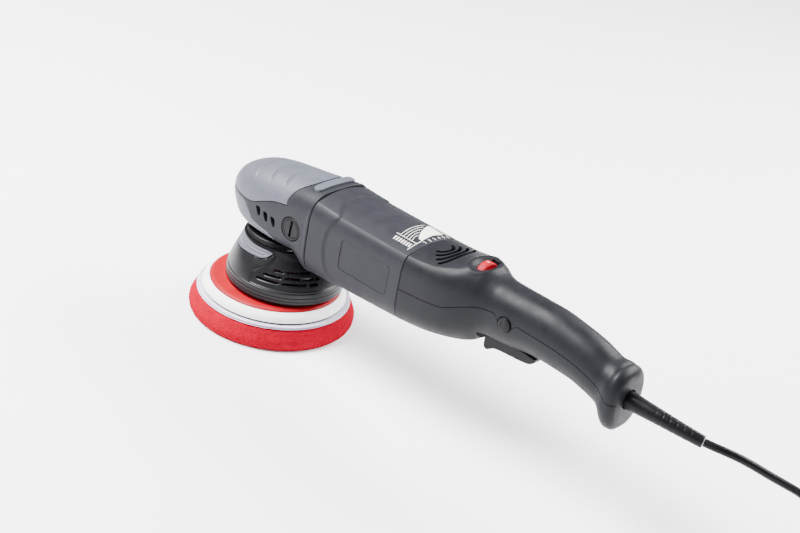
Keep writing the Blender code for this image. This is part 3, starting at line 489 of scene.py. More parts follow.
def smooth_row(table, x):
    """A row of a table at x, read from a monotone cubic through its rows."""
    table = np.array(table, dtype=float)
    xs, values = table[:, 0], table[:, 1:]
    steps = np.diff(xs)[:, None]
    slopes = np.diff(values, axis=0) / steps
    tangents = np.zeros_like(values)
    tangents[0], tangents[-1] = slopes[0], slopes[-1]
    product = slopes[1:] * slopes[:-1]
    total = slopes[1:] + slopes[:-1]
    same_way = product > 0
    tangents[1:-1][same_way] = 2 * product[same_way] / total[same_way]
    row = int(np.clip(np.searchsorted(xs, x) - 1, 0, len(xs) - 2))
    step = xs[row + 1] - xs[row]
    t = (x - xs[row]) / step
    return ((2 * t ** 3 - 3 * t ** 2 + 1) * values[row] + (t ** 3 - 2 * t ** 2 + t) * step * tangents[row]
            + (3 * t ** 2 - 2 * t ** 3) * values[row + 1] + (t ** 3 - t ** 2) * step * tangents[row + 1])


def spaced(points, count):
    """Points spaced evenly along a polyline, both ends kept."""
    points = np.asarray(points, dtype=float)
    lengths = np.concatenate([[0], np.cumsum(np.linalg.norm(np.diff(points, axis=0), axis=1))])
    at = np.linspace(0, lengths[-1], count)
    return np.stack([np.interp(at, lengths, points[:, k]) for k in range(points.shape[1])], axis=1)


def smooth_through(points, count):
    """Evenly spaced points along a smooth curve through given points."""
    points = np.array(points, dtype=float)
    ends = np.concatenate([[2 * points[0] - points[1]], points, [2 * points[-1] - points[-2]]])
    fine = []
    for k in range(1, len(ends) - 2):
        before, start, stop, after = ends[k - 1:k + 3]
        for t in np.linspace(0, 1, 20, endpoint=False):
            fine.append(0.5 * (2 * start + (stop - before) * t
                               + (2 * before - 5 * start + 4 * stop - after) * t ** 2
                               + (3 * start - before - 3 * stop + after) * t ** 3))
    return spaced(np.array(fine + [points[-1]]), count)


def rounded(outline, rounds=2):
    """A closed outline with its corners cut, which rounds them."""
    points = np.array(outline, dtype=float)
    for _ in range(rounds):
        after = np.roll(points, -1, axis=0)
        points = np.stack([0.8 * points + 0.2 * after, 0.2 * points + 0.8 * after], axis=1).reshape(-1, 2)
    return points


def step_up(value, start, stop):
    """0 below start, 1 above stop, smooth between."""
    t = np.clip((value - start) / (stop - start), 0, 1)
    return t * t * (3 - 2 * t)


def hill(value, centre, half):
    """1 at centre, falling smoothly to 0 at half to either side."""
    return 1 - step_up(np.abs(value - centre), 0, half)


def distance_to_line(points, line):
    """Each 2D point's distance to a polyline, and how far along it the nearest place is, from 0 to 1."""
    line = np.asarray(line, dtype=float)
    best = np.full(len(points), np.inf)
    along = np.zeros(len(points))
    lengths = np.linalg.norm(np.diff(line, axis=0), axis=1)
    total = lengths.sum()
    done = 0.0
    for start, stop, length in zip(line[:-1], line[1:], lengths):
        share = np.clip(((points - start) @ (stop - start)) / length ** 2, 0, 1)
        distance = np.linalg.norm(points - start - share[:, None] * (stop - start), axis=1)
        nearer = distance < best
        best[nearer] = distance[nearer]
        along[nearer] = ((done + share * length) / total)[nearer]
        done += length
    return best, along


def lower_half(width, exponent, middle, bottom, count=160):
    angles = np.linspace(0, math.pi / 2, count)
    return np.stack([width * np.cos(angles) ** (2 / exponent),
                     middle - (middle - bottom) * np.sin(angles) ** (2 / exponent)], axis=1)


def upper_half(width, exponent, middle, top, count=160):
    angles = np.linspace(0, math.pi / 2, count)
    return np.stack([width * np.sin(angles) ** (2 / exponent),
                     middle + (top - middle) * np.cos(angles) ** (2 / exponent)], axis=1)


def mirrored(half):
    """A path from the far side over the middle to the near side, from half a section's points."""
    return np.concatenate([half[::-1], half[1:] * (-1, 1)])


def inset(path, distance, closed):
    """A path moved inwards, where inwards is to its right as it runs."""
    if closed:
        along = np.roll(path, -1, axis=0) - np.roll(path, 1, axis=0)
    else:
        along = np.gradient(path, axis=0)
    along = along / np.linalg.norm(along, axis=1)[:, None]
    return path + distance * np.stack([-along[:, 1], along[:, 0]], axis=1)


def place(path, x):
    """Section points y, z as x, y, z."""
    return np.column_stack([np.full(len(path), float(x)), path])


# ---------------------------------------------------------------- the gear head

HEAD_SECTIONS = [
    (-62.2, 2.0, 2.0, 2.0, 111.6, 109.6, 107.6),
    (-61.5, 6.5, 2.0, 2.0, 116.0, 109.5, 103.0),
    (-59.5, 12.5, 2.0, 2.0, 119.0, 109.0, 98.0),
    (-54.0, 20.5, 2.1, 2.1, 124.5, 108.0, 91.5),
    (-46.0, 26.5, 2.2, 2.5, 129.5, 107.0, 86.0),
    (-36.0, 30.5, 2.3, 3.4, 133.5, 106.0, NECK_HEIGHT),
    (-20.0, 33.3, 2.4, 5.0, 137.0, 105.5, NECK_HEIGHT),
    (0.0, 34.5, 2.6, 5.5, 139.3, 105.5, NECK_HEIGHT),
    (16.0, 35.0, 2.9, 5.0, 140.6, 106.0, NECK_HEIGHT),
    (28.0, 35.2, 3.3, 4.2, 141.5, 107.0, NECK_HEIGHT),
    (37.0, 35.2, 3.6, 3.7, 142.3, 108.0, 75.5),
    (44.0, 35.2, 3.7, 3.7, 142.9, 108.0, 69.8),
    (48.1, 35.2, 3.7, 3.7, 142.9, 108.0, 69.5),
]
TOP_COVER_OUTLINE = [
    (-75, 108.5), (-46, 108.8), (-34, 107.5), (-25, 107.5), (-17, 109), (-5, 115), (6, 119.6), (14, 121.3),
    (21.5, 122.6), (20, 126), (21.5, 132), (23.5, 136), (27, 139.5), (31, 142), (31, 155), (-75, 155),
]
NOSE_PAD_OUTLINE = [
    (-75, 107.5), (-46, 107.8), (-36, 106.4), (-28, 105.4), (-20.5, 99), (-16, 94), (-8, 92.2), (3, 91.5),
    (10, 88.5), (13.2, 85.7), (-9, 84.9), (-75, 84.9),
]
SEAM_GAP = 0.45                 # between a rubber piece and the edge of its pocket
POCKET_DEPTH = 2.4
PLUG_X, PLUG_Z, PLUG_FACE = 29.7, 105.5, 34.8
VENT_PLACES = ((-14.2, 104.3), (-4.9, 102.9), (4.4, 102.3))
# Shallow crescent grooves across the cover's top, each a line of x, y
COVER_GROOVES = [
    [(-24.6, -27.3), (-27.6, -16.8), (-27.4, -6.8), (-27.6, 6.8), (-27.6, 16.8), (-24.6, 27.3)],
    [(-8.2, -27.5), (-11.8, -13.8), (-12.2, 0), (-11.8, 13.8), (-8.2, 27.5)],
    [(9.2, -27.5), (5.0, -10.8), (4.6, 0), (5.0, 10.8), (9.2, 27.5)],
]


def head_ring(x, offset, count=96):
    """The gear head's closed section at x, moved inwards by offset."""
    width, up, low, top, middle, bottom = smooth_row(HEAD_SECTIONS, x)
    outline = np.concatenate([upper_half(width, up, middle, top), lower_half(width, low, middle, bottom)[1:]])
    loop = mirrored(spaced(outline, count))[:-1]
    return place(inset(loop, offset, closed=True), x)


def head_loft(offset, pitch=1.2):
    """A solid of the gear head's shape, moved inwards by offset, also at its tip."""
    tip = HEAD_SECTIONS[0][0]
    nose = tip + np.array([0, 0.3, 0.7, 1.2, 1.9, 2.7, 3.7])
    stations = np.concatenate([nose, np.arange(tip + 4.9, 48.1, pitch), [48.1]])
    rings = []
    for x in stations:
        shift = max(offset, 0) * (1 - step_up(x, tip, -20))
        rings.append(head_ring(x, offset) + (shift, 0, 0))
    return rings


def skin_core(name, depth):
    """What lies deeper than a depth below the gear head's skin."""
    rings = head_loft(depth, pitch=2.0)[2:]
    rings.append(rings[-1] + (14, 0, 0))
    return loft(name, rings)


def skin_blank(name, outline, depth):
    """The part of the gear head's skin inside a side outline, down to a depth."""
    return carve(prism(name, outline, -40.0, 40.0), skin_core(name + "_core", depth))


def shrunk(outline, distance):
    """A closed outline moved inwards by a distance."""
    path = np.array(outline, dtype=float)
    after = np.roll(path, -1, axis=0) - path
    before = path - np.roll(path, 1, axis=0)
    unit = before / np.linalg.norm(before, axis=1)[:, None] + after / np.linalg.norm(after, axis=1)[:, None]
    unit /= np.linalg.norm(unit, axis=1)[:, None]
    area = np.sum(path[:, 0] * np.roll(path[:, 1], -1) - path[:, 1] * np.roll(path[:, 0], -1))
    return path + distance * math.copysign(1, area) * np.stack([-unit[:, 1], unit[:, 0]], axis=1)


def head_housing():
    """The gear case: nose, collar with its lip, neck, vents and the pockets for the rubber pieces."""
    rings = head_loft(0)
    rings = [ring for ring in rings if ring[0, 0] < 47.4]
    rings += [head_ring(47.6, 0), head_ring(48.0, 0.15), head_ring(48.1, 0.5)]
    head = loft("head_housing_skin", rings)
    displaced(head, head_relief)
    cutters = [
        turned("chamber", [(26.5, 92), (26.5, 120)]),
        turned("motor_bore", [(30.5, 20), (30.5, 60)], axis="X", centre=(0, 0, MOTOR_HEIGHT)),
        turned("neck_bore", [(23.4, 70), (23.4, 93)]),
        turned("upper_seat", [(11.4, 119), (11.4, 130)]),
        skin_blank("cover_pocket", rounded(TOP_COVER_OUTLINE), POCKET_DEPTH),
        skin_blank("nose_pocket", rounded(NOSE_PAD_OUTLINE), POCKET_DEPTH),
        strap_blank("strap_pocket", -SEAM_GAP),
    ]
    for side in (-1, 1):
        bore = [(10.5, side * 31.6), (10.5, side * 34.6), (11.2, side * 36)]
        cutters.append(turned(f"plug_bore_{side}", bore, axis="Y", centre=(PLUG_X, 0, PLUG_Z)))
        for x, z in VENT_PLACES:
            cutters.append(head_vent(f"head_vent_{side}_{x}", x, z, side))
    carve(head, *cutters)
    return finished(head, housing_plastic(), "tool_body", "graphite_housing", "head_housing")


def head_relief(places, normals):
    """The raised lip beside the seam."""
    x = places[:, 0]
    lip = 0.4 * step_up(x, 45.0, 45.6)
    return normals * lip[:, None] * (1 - np.abs(normals[:, :1]))


def head_vent(name, x, z, side):
    """A cutter for one slanting vent: a pocket whose floor slopes from its rear edge inwards."""
    outline = rounded([(x, z + 4.2), (x + 6.4, z + 4.0), (x + 7.4, z - 3.8), (x + 4.4, z - 4.2)], rounds=2)
    outer = np.array([(px, side * 40.0, pz) for px, pz in outline])
    depth = 33.0 - 5.5 * step_up(outline[:, 0], x + 6.5, x + 1.5)
    inner = np.array([(px, side * d, pz) for (px, pz), d in zip(outline, depth)])
    return loft(name, [inner, outer])


def strap_blank(name, clearance):
    """The rubber strap across the top of the collar."""
    rings = []
    for y in np.linspace(-21.5 + clearance, 21.5 - clearance, 40):
        top = 145.0 - 1.6 * (abs(y) / 21.5) ** 2.2
        corner = 2.2 * (1 - math.sqrt(max(0.0, 1 - step_up(abs(y), 18.5, 21.5) ** 2)))
        front, rear = 34.8 + clearance + corner, 42.8 - clearance - corner
        low = top - 3.6 + clearance
        rings.append(np.array([(front, y, low), (rear, y, low), (rear, y, top), (front, y, top)]))
    return loft(name, rings)


def rubber_cover():
    """The soft cover over the gear head, proud of the case, with shallow crescent grooves."""
    cover = skin_blank("head_top_cover_skin", shrunk(rounded(TOP_COVER_OUTLINE), SEAM_GAP), POCKET_DEPTH - 0.6)
    combine(cover, "INTERSECT", loft("cover_limit", head_loft(-0.25)))
    soften(cover, 0.5, rounds=5)
    displaced(cover, cover_relief)
    return finished(cover, grey_rubber(), "tool_body", "grey_rubber", "head_top_cover", sharp=60)


def cover_relief(places, normals):
    """Grooves that fade out at both ends, cut only into the outer surface."""
    depth = np.zeros(len(places))
    for line in COVER_GROOVES:
        distance, along = distance_to_line(places[:, :2], smooth_through(line, 40))
        fade = step_up(along, 0.0, 0.12) * step_up(1 - along, 0.0, 0.12)
        depth += 1.15 * hill(distance, 0, 2.2) * fade
    outer = step_up(places[:, 2], 116, 124) * step_up(normals[:, 2], 0.05, 0.3)
    return -normals * (depth * outer)[:, None]


def nose_pad():
    pad = skin_blank("nose_pad_skin", shrunk(rounded(NOSE_PAD_OUTLINE), SEAM_GAP), POCKET_DEPTH - 0.6)
    combine(pad, "INTERSECT", loft("nose_limit", head_loft(-0.25)))
    soften(pad, 0.5, rounds=5)
    return finished(pad, grey_rubber(), "tool_body", "grey_rubber", "nose_pad", sharp=60)


def collar_strap():
    strap = soften(strap_blank("collar_strap_skin", 0), 0.4, rounds=5)
    return finished(strap, grey_rubber(), "tool_body", "grey_rubber", "collar_strap", sharp=60)


def side_plugs():
    """The slotted round plugs, with a fine rim groove and a coin slot."""
    for side, name in ((-1, "side_plug_left"), (1, "side_plug_right")):
        face = PLUG_FACE
        profile = [(10.0, face - 2.9), (10.0, face - 0.5), (9.6, face - 0.1), (8.4, face), (8.0, face - 0.35),
                   (7.6, face), (3.0, face + 0.05)]
        plug = turned(name + "_skin", [(r, side * y) for r, y in profile], axis="Y", centre=(PLUG_X, 0, PLUG_Z))
        slot = block(name + "_slot", (PLUG_X - 1.25, side * face - 1.6, PLUG_Z - 7.6),
                     (PLUG_X + 1.25, side * face + 1.6, PLUG_Z + 7.6))
        turn_about(slot, (PLUG_X, 0, PLUG_Z), "Y", 4)
        carve(plug, slot)
        finished(plug, dark_plastic(), "tool_body", "charcoal_plastic", name)


def turn_about(piece, centre, axis, degrees):
    """Turn a piece's mesh about an axis through a point."""
    pivot = Matrix.Translation(Vector(world(centre)))
    piece.data.transform(pivot @ Matrix.Rotation(math.radians(degrees), 4, axis) @ pivot.inverted())


def neck_seal():
    """The fine-ribbed seal between gear head and shroud."""
    profile = [(33.0, 77.2)]
    for z in np.arange(77.6, 81.3, 0.2):
        profile.append((33.5 + 0.22 * math.cos(2 * math.pi * (z - 77.6) / 1.2), z))
    profile += [(33.0, NECK_HEIGHT - GAP), (28.5, NECK_HEIGHT - GAP), (28.5, 77.2)]
    seal = turned_ring("neck_seal_skin", profile, centre=(-5.5, 0, 0), count=144)
    finished(seal, dark_plastic(), "tool_body", "black_fittings", "neck_seal")


# ---------------------------------------------------------------- the shroud

SHROUD_RIM = 36.8
SHROUD_PROFILE = [
    (50.0, SHROUD_RIM, 0), (51.0, 38.2, 0), (51.2, 42, 0), (50.9, 46.5, 0), (49.8, 50.5, 0), (46.8, 58.5, -0.5),
    (44.6, 63.0, -1.0), (41.0, 69.0, -2.0), (38.0, 74.5, -3.5), (37.0, 76.8, -4.0),
]
# Height, first and last direction of each curved vent, and where its ribs cross it
SHROUD_SLOTS = [(54.6, 10, 79, (22, 51)), (58.9, 8, 72, (14, 49)), (63.4, 17, 61, (47,))]
SLOT_HALF = 1.05
# The rubber insert's outline, as direction from the front and height
INSERT_RADIUS = 45.0
INSERT_OUTLINE = [(-106, 68.8), (-84, 67.9), (-55, 65.6), (0, 64.0), (55, 65.6), (84, 67.9), (106, 68.8),
                  (120, 75.9), (60, 76.0), (0, 76.0), (-60, 76.0), (-120, 75.9)]


def shroud_row(height):
    """The shroud's outer radius and centre shift at a height."""
    table = [(z, radius, shift) for radius, z, shift in SHROUD_PROFILE]
    return smooth_row(table, height)


def shroud_point(direction, height, proud=0.0):
    radius, shift = shroud_row(height)
    return (shift + (radius + proud) * math.cos(direction), (radius + proud) * math.sin(direction), height)


def insert_distance(places):
    """Signed distance in millimetres inside the insert's outline, seen square on."""
    direction = np.degrees(np.arctan2(places[:, 1], -(places[:, 0] + 1.5)))
    flat = np.column_stack([np.radians(direction) * INSERT_RADIUS, places[:, 2]])
    outline = rounded(INSERT_OUTLINE, rounds=1)
    line = np.column_stack([np.radians(outline[:, 0]) * INSERT_RADIUS, outline[:, 1]])
    closed = np.vstack([line, line[:1]])
    distance, _ = distance_to_line(flat, closed)
    inside = np.zeros(len(flat), dtype=bool)
    for start, stop in zip(closed[:-1], closed[1:]):
        crosses = (start[1] > flat[:, 1]) != (stop[1] > flat[:, 1])
        rise = np.where(stop[1] == start[1], 1e-9, stop[1] - start[1])
        at = start[0] + (flat[:, 1] - start[1]) * (stop[0] - start[0]) / rise
        inside ^= crosses & (flat[:, 0] < at)
    return np.where(inside, distance, -distance)


def shroud_relief(places, normals):
    """Pocket for the insert, the rear shoulder panel, and the grooves above the rim."""
    inward = np.zeros(len(places))
    outer = step_up(np.hypot(places[:, 0] + 1.5, places[:, 1]) - shroud_radius(places[:, 2]), -1.6, -0.8)
    inward += 1.9 * step_up(insert_distance(places), -0.1, 0.5)
    direction = np.degrees(np.abs(np.arctan2(places[:, 1], places[:, 0])))
    height = places[:, 2]
    edge = 84 - 18 * step_up(height, 56, 72)
    panel = (1 - step_up(direction, edge - 3, edge + 1)) * step_up(height, 48.5, 50.0)
    inward += 0.8 * panel
    for groove, depth in ((48.3, 0.55), (44.2, 0.35), (40.6, 0.35)):
        inward += depth * hill(height, groove, 0.9) * (1 - step_up(direction, 132, 152))
    return -normals * (inward * outer)[:, None]


def shroud_radius(heights):
    table = np.array([(z, radius) for radius, z, _ in SHROUD_PROFILE])
    return np.interp(heights, table[:, 0], table[:, 1])


def shroud():
    """The gloss bell round the counterweight, its curved vents and the pocket for its insert."""
    heights = np.concatenate([[SHROUD_RIM, 37.1, 37.6], np.arange(38.2, 76.9, 0.45), [76.8]])
    directions = np.linspace(0, 2 * math.pi, 360, endpoint=False)
    rings = [np.array([shroud_point(d, z) for d in directions]) for z in heights]
    inner_heights = np.linspace(76.8, SHROUD_RIM, 14)
    rings += [np.array([shroud_point(d, z, -WALL - 1.2 * step_up(z, 37, 41)) for d in directions])
              for z in inner_heights]
    bell = displaced(tube("shroud_skin", rings), shroud_relief)
    cutters = []
    for height, low, high, ribs in SHROUD_SLOTS:
        bounds = [low, *sorted(ribs), high]
        for number, (start, stop) in enumerate(zip(bounds[:-1], bounds[1:])):
            for side in (-1, 1):
                cutters.append(shroud_slot(f"slot_{height}_{number}_{side}", height, start, stop, side))
    carve(bell, *cutters)
    return finished(bell, gloss_plastic(), "tool_body", "black_plastic", "shroud")


def shroud_slot(name, height, start, stop, side):
    """A cutter for one stretch of a curved vent, with a flared mouth and round ends."""
    margin = 0.9 if stop - start > 8 else 0.4
    directions = np.radians(np.linspace(start + margin, stop - margin, 24))
    rings = []
    for place_in_row, direction in enumerate(directions):
        ends = min(place_in_row, len(directions) - 1 - place_in_row)
        half = SLOT_HALF * math.sqrt(1 - (1 - min(ends, 3) / 3.5) ** 2)
        radius, shift = shroud_row(height)
        ring = []
        for reach, spread in ((-7.0, 0.0), (-0.9, 0.0), (-0.3, 0.5), (4.0, 0.9)):
            ring.append((radius + reach, -half - spread))
        for reach, spread in ((4.0, 0.9), (-0.3, 0.5), (-0.9, 0.0), (-7.0, 0.0)):
            ring.append((radius + reach, half + spread))
        rings.append(np.array([(shift + r * math.cos(direction), side * r * math.sin(direction), height + z)
                               for r, z in ring]))
    return loft(name, rings)


def outline_span(outline, across):
    """The lowest and highest places of a closed outline at one distance across it."""
    starts, stops = outline, np.roll(outline, -1, axis=0)
    crosses = (starts[:, 0] > across) != (stops[:, 0] > across)
    share = (across - starts[crosses, 0]) / (stops[crosses, 0] - starts[crosses, 0])
    places = starts[crosses, 1] + share * (stops[crosses, 1] - starts[crosses, 1])
    return places.min(), places.max()


def shroud_insert():
    """The rubber band let into the bell's front, with an inner channel and flame-like embossing."""
    arc = INSERT_RADIUS * math.pi / 180
    outline = shrunk(rounded(INSERT_OUTLINE, rounds=1) * (arc, 1), 0.4)
    reach = outline[:, 0].max() - 0.3
    rings = []
    for across in np.linspace(-reach, reach, 420):
        low, high = outline_span(outline, across)
        direction = math.radians(180 - across / arc)
        heights = np.linspace(low, high, 48)
        outer = [shroud_point(direction, height, -0.5 if height in (low, high) else 0.15) for height in heights]
        inner = [shroud_point(direction, height, -1.7) for height in heights[::-1]]
        rings.append(np.array(outer + inner))
    band = displaced(loft("shroud_insert_skin", rings), insert_relief)
    return finished(band, grey_rubber(), "tool_body", "grey_rubber", "shroud_insert", sharp=60)


def insert_relief(places, normals):
    """A channel that follows the outline, and slanting raised licks towards the front."""
    inside = insert_distance(places)
    channel = -0.45 * hill(inside, 2.6, 0.8)
    direction = np.degrees(np.arctan2(places[:, 1], -(places[:, 0] + 1.5)))
    slant = (np.abs(direction) + 1.6 * (places[:, 2] - 60)) % 17.0
    licks = 0.35 * hill(slant, 8.5, 3.2) * step_up(inside, 3.2, 4.4) * (1 - step_up(np.abs(direction), 52, 66))
    reach = np.hypot(places[:, 0] + 1.5, places[:, 1])
    outward_facing = step_up(reach - shroud_radius(places[:, 2]), -1.2, -0.6)
    return normals * ((channel + licks) * outward_facing)[:, None]


# ---------------------------------------------------------------- motor housing and rear shells

BODY_SECTIONS = [
    (48, 28.6, 34.2, 3.9, 141.6, 109.5, 71.0, 1.0),
    (80, 28.5, 34.0, 4.0, 140.0, 110.0, 72.0, 1.0),
    (148, 28.5, 33.7, 4.0, 140.3, 110.5, 75.5, 1.0),
    (170, 27.0, 33.3, 3.8, 141.5, 111.0, 77.5, 1.0),
    (188, 22.0, 31.5, 3.2, 145.5, 112.0, 79.5, 0.9),
    (200, 17.0, 28.5, 2.8, 149.0, 114.0, 81.5, 0.7),
    (210, 14.0, 25.0, 2.6, 148.0, 116.0, 85.0, 0.4),
    (218, 12.0, 22.0, 2.4, 144.5, 118.0, 91.0, 0.1),
    (226, 12.0, 20.5, 2.3, 143.0, 119.0, 94.5, 0),
    (240, 12.0, 19.8, 2.3, 142.7, 119.7, 96.0, 0),
    (270, 11.0, 18.9, 2.2, 143.0, 121.0, 99.5, 0),
    (300, 11.0, 18.4, 2.2, 139.4, 118.6, 98.5, 0),
    (315, 11.0, 18.3, 2.2, 136.2, 115.6, 95.8, 0),
    (323, 11.0, 18.2, 2.2, 133.6, 113.0, 93.6, 0),
    (329, 11.0, 18.3, 2.2, 131.4, 111.0, 91.3, 0),
    (333, 11.0, 19.1, 2.3, 130.6, 109.3, 87.0, 0),
    (337, 11.0, 20.5, 2.4, 130.4, 107.6, 80.5, 0),
    (341, 11.0, 21.0, 2.5, 129.8, 106.0, 78.2, 0),
    (345, 11.0, 20.4, 2.5, 128.6, 105.0, 78.6, 0),
    (348.5, 10.0, 17.2, 2.4, 125.2, 104.6, 82.5, 0),
]
SPLIT_LINE = [(148, 107.6), (188, 111.0), (208, 119.0), (220, 122.6), (232, 123.6), (253, 122.6), (270, 122.0),
              (285, 121.2), (300, 119.7), (315, 116.8), (325, 113.6), (335, 109.6), (339, 107.0),
              (342.3, 104.9), (350, 104.9)]
NOTCH_DEPTH = 4.2
LABEL_LOW, LABEL_HIGH = (84.5, 95.5), (137.0, 121.5)
BUTTON_X, BUTTON_Z, BUTTON_RADIUS = 242.5, 119.5, 5.6
DIAL_X, DIAL_Z, DIAL_RADIUS, DIAL_WIDTH = 203.0, 137.2, 11.5, 6.8
GLAND_RADIUS, GLAND_HEIGHT = 8.0, 104.9
END_WALL_FRONT = 342.3
END_RADIUS = 22.0
# Where the pommel's rings lie along X, and then how far its last ones are drawn in to round its end
END_STATIONS = (342.1, END_WALL_FRONT, 343.5, 344.7, 345.8, 346.7, 347.4)
END_ROUNDING = ((347.9, 0.4), (348.3, 1.1), (348.5, 2.0))


def body_half_section(x, wall=0.0):
    """Half a body section as the facet's points, then the side's, each y, z with y positive.

    wall gives the inner surface, that much further in.
    """
    corner, width, exponent, top, middle, bottom, facet = smooth_row(BODY_SECTIONS, x)
    corner, width, top, bottom = corner - wall, width - wall, top - wall, bottom + wall
    rise = top - middle
    corner_z = middle + rise * (1 - (corner / width) ** exponent) ** (1 / exponent)
    across = np.linspace(0, corner, 40)
    round_top = middle + rise * (1 - (across / width) ** exponent) ** (1 / exponent)
    flat_top = top - (top - corner_z) * (across / corner) ** 2
    facet_points = np.stack([across, facet * flat_top + (1 - facet) * round_top], axis=1)
    upper = upper_half(width, exponent, middle, top)
    side = np.concatenate([[facet_points[-1]], upper[upper[:, 0] > corner + 0.1],
                           lower_half(width, exponent, middle, bottom)[1:]])
    return facet_points, side


def full_loop(x, wall=0.0, facet_count=30, side_count=84):
    facet, side = body_half_section(x, wall)
    half = np.concatenate([spaced(facet, facet_count), spaced(side, side_count)[1:]])
    return mirrored(half)[:-1]


def flare_edge(places):
    """Where along X the prouder front of the motor housing ends, at each place's height or width."""
    side = 67.0 + 0.0125 * (places[:, 2] - 109) ** 2
    top = 63.1 + 0.0126 * places[:, 1] ** 2
    share = step_up(places[:, 2], 133, 138)
    return side * (1 - share) + np.minimum(side, top) * share


def motor_relief(places, normals):
    """The prouder flare in front, which ends in an arc, and a shallow step back from it."""
    flare = 1.0 - step_up(places[:, 0] - flare_edge(places), -1.2, 1.4)
    across = normals * (0, 1, 1)
    return across * (0.95 * flare)[:, None]


def motor_housing():
    stations = np.concatenate([[HEAD_SEAM], np.arange(HEAD_SEAM + 0.5, REAR_SEAM - 0.8, 1.0),
                               [REAR_SEAM - 0.8, REAR_SEAM - GAP]])
    outer = []
    for x in stations:
        edge = {stations[0]: 0.9, stations[-1]: 0.45}.get(x, 0.0)
        outer.append(place(inset(full_loop(x), edge, closed=True), x))
    inner = [place(full_loop(x, WALL), x) for x in np.linspace(REAR_SEAM - GAP, HEAD_SEAM, 12)]
    housing = tube("motor_housing_skin", outer + inner)
    outer_count = len(stations) * len(outer[0])
    move_outer(housing, outer_count, motor_relief)
    cutters = []
    for side in (-1, 1):
        outline = rounded_rectangle(LABEL_LOW, LABEL_HIGH, 3.2)
        rings = [np.array([(x, side * y, z) for x, z in outline]) for y in (32.85, 40.0)]
        cutters.append(loft(f"label_recess_{side}", rings))
    carve(housing, *cutters)
    return finished(housing, housing_plastic(), "tool_body", "graphite_housing", "motor_housing", sharp=24)


def move_outer(piece, count, shift):
    """Move only a piece's first vertices, which are its outer surface."""
    def limited(places, normals):
        moved = shift(places, normals)
        moved[count:] = 0
        return moved
    return displaced(piece, limited)


def rounded_rectangle(low, high, radius, steps=8):
    """An outline with round corners between two corners."""
    points = []
    corners = [(high[0], high[1], 0), (low[0], high[1], 90), (low[0], low[1], 180), (high[0], low[1], 270)]
    for x, z, start in corners:
        cx = x - radius if x == high[0] else x + radius
        cz = z - radius if z == high[1] else z + radius
        for turn in np.radians(np.linspace(start, start + 90, steps)):
            points.append((cx + radius * math.cos(turn), cz + radius * math.sin(turn)))
    return np.array(points)


def label_plates():
    """The plain label panels, each with a fine raised border."""
    for side, name in ((-1, "label_plate_left"), (1, "label_plate_right")):
        low = np.array(LABEL_LOW) + GAP
        high = np.array(LABEL_HIGH) - GAP
        rings = []
        for margin, y in ((0, 33.1), (0, 33.55), (0.25, 33.75), (1.3, 33.75), (1.5, 33.6), (1.9, 33.6)):
            outline = rounded_rectangle(low + margin, high - margin, 3.0 - margin)
            rings.append(np.array([(x, side * y, z) for x, z in outline]))
        plate = loft(name + "_skin", rings)
        finished(plate, label_film(), "tool_body", "charcoal_plastic", name)


def split_height(x):
    """Height of the rear shells' seam, with the notch that drops to the lock button."""
    notch = step_up(x, 231.5, 236.5) * (1 - step_up(x, 248.5, 253.5))
    return float(smooth_row(SPLIT_LINE, x)[0] - NOTCH_DEPTH * notch)


def half_path(x, upper, wall=0.0, facet_count=26, side_count=44):
    """The open path of one rear shell at x; the upper one's outer edges turn in at the seam."""
    facet, side = body_half_section(x, wall)
    seam = split_height(x)
    above = side[side[:, 1] > seam]
    below = side[side[:, 1] <= seam]
    share = (above[-1, 1] - seam) / (above[-1, 1] - below[0, 1])
    meeting = above[-1] + (below[0] - above[-1]) * share
    last = meeting - (0.5 if upper and not wall else 0, 0)
    if upper:
        edge = np.concatenate([above[above[:, 1] > seam + 0.6], [meeting + (0, 0.5)]])
        half = np.concatenate([spaced(facet, facet_count), spaced(edge, side_count)[1:], [last + (0, GAP / 2)]])
        return mirrored(half)
    edge = np.concatenate([[meeting - (0, 0.5)], below[below[:, 1] < seam - 0.6]])
    half = np.concatenate([[last - (0, GAP / 2)], spaced(edge, facet_count + side_count - 1)])
    return mirrored(half[::-1])


def end_wall_path(upper, count):
    """The edge of the cord's hole through the end wall, matched to the outside path point for point."""
    seam = GLAND_HEIGHT + (GAP / 2 if upper else -GAP / 2)
    angles = np.linspace(0, math.pi, count)
    turn = 1 if upper else -1
    return np.stack([GLAND_RADIUS * np.cos(angles), seam + turn * GLAND_RADIUS * np.sin(angles)], axis=1)


def shell_ring(x, upper, edge=0.0):
    """A rear shell's outer path at x with its inner one; edge draws the outer one in, as at the shell's end."""
    centre = np.array([0.0, split_height(x)])
    outer = centre + (half_path(x, upper) - centre) * (1 - edge / END_RADIUS)
    inner = end_wall_path(upper, len(outer)) if x >= END_WALL_FRONT else half_path(x, upper, WALL)
    return place(np.concatenate([outer, inner[::-1]]), x)


def rear_shell(name, upper):
    """One half of the rear housing and handle, before its openings are cut."""
    rings = [shell_ring(REAR_SEAM, upper, edge=0.45)]
    for x in [*np.arange(REAR_SEAM + 0.5, END_WALL_FRONT - 0.2, 1.3), *END_STATIONS]:
        rings.append(shell_ring(x, upper))
    for x, edge in END_ROUNDING:
        rings.append(shell_ring(x, upper, edge))
    shell = gutter(name + "_skin", rings)
    return displaced(shell, upper_relief if upper else lower_relief)


def is_outer(places, normals):
    """1 on the outer surface, 0 on the inner one, from which way a face looks from the axis."""
    away = normals[:, 1] * places[:, 1] + normals[:, 2] * (places[:, 2] - 112)
    return step_up(away, 0.0, 1.0)


# Half size of the dial's bowl and the depth of its middle
BOWL_X, BOWL_Y, BOWL_DEPTH = 10.8, 16.6, 5.0


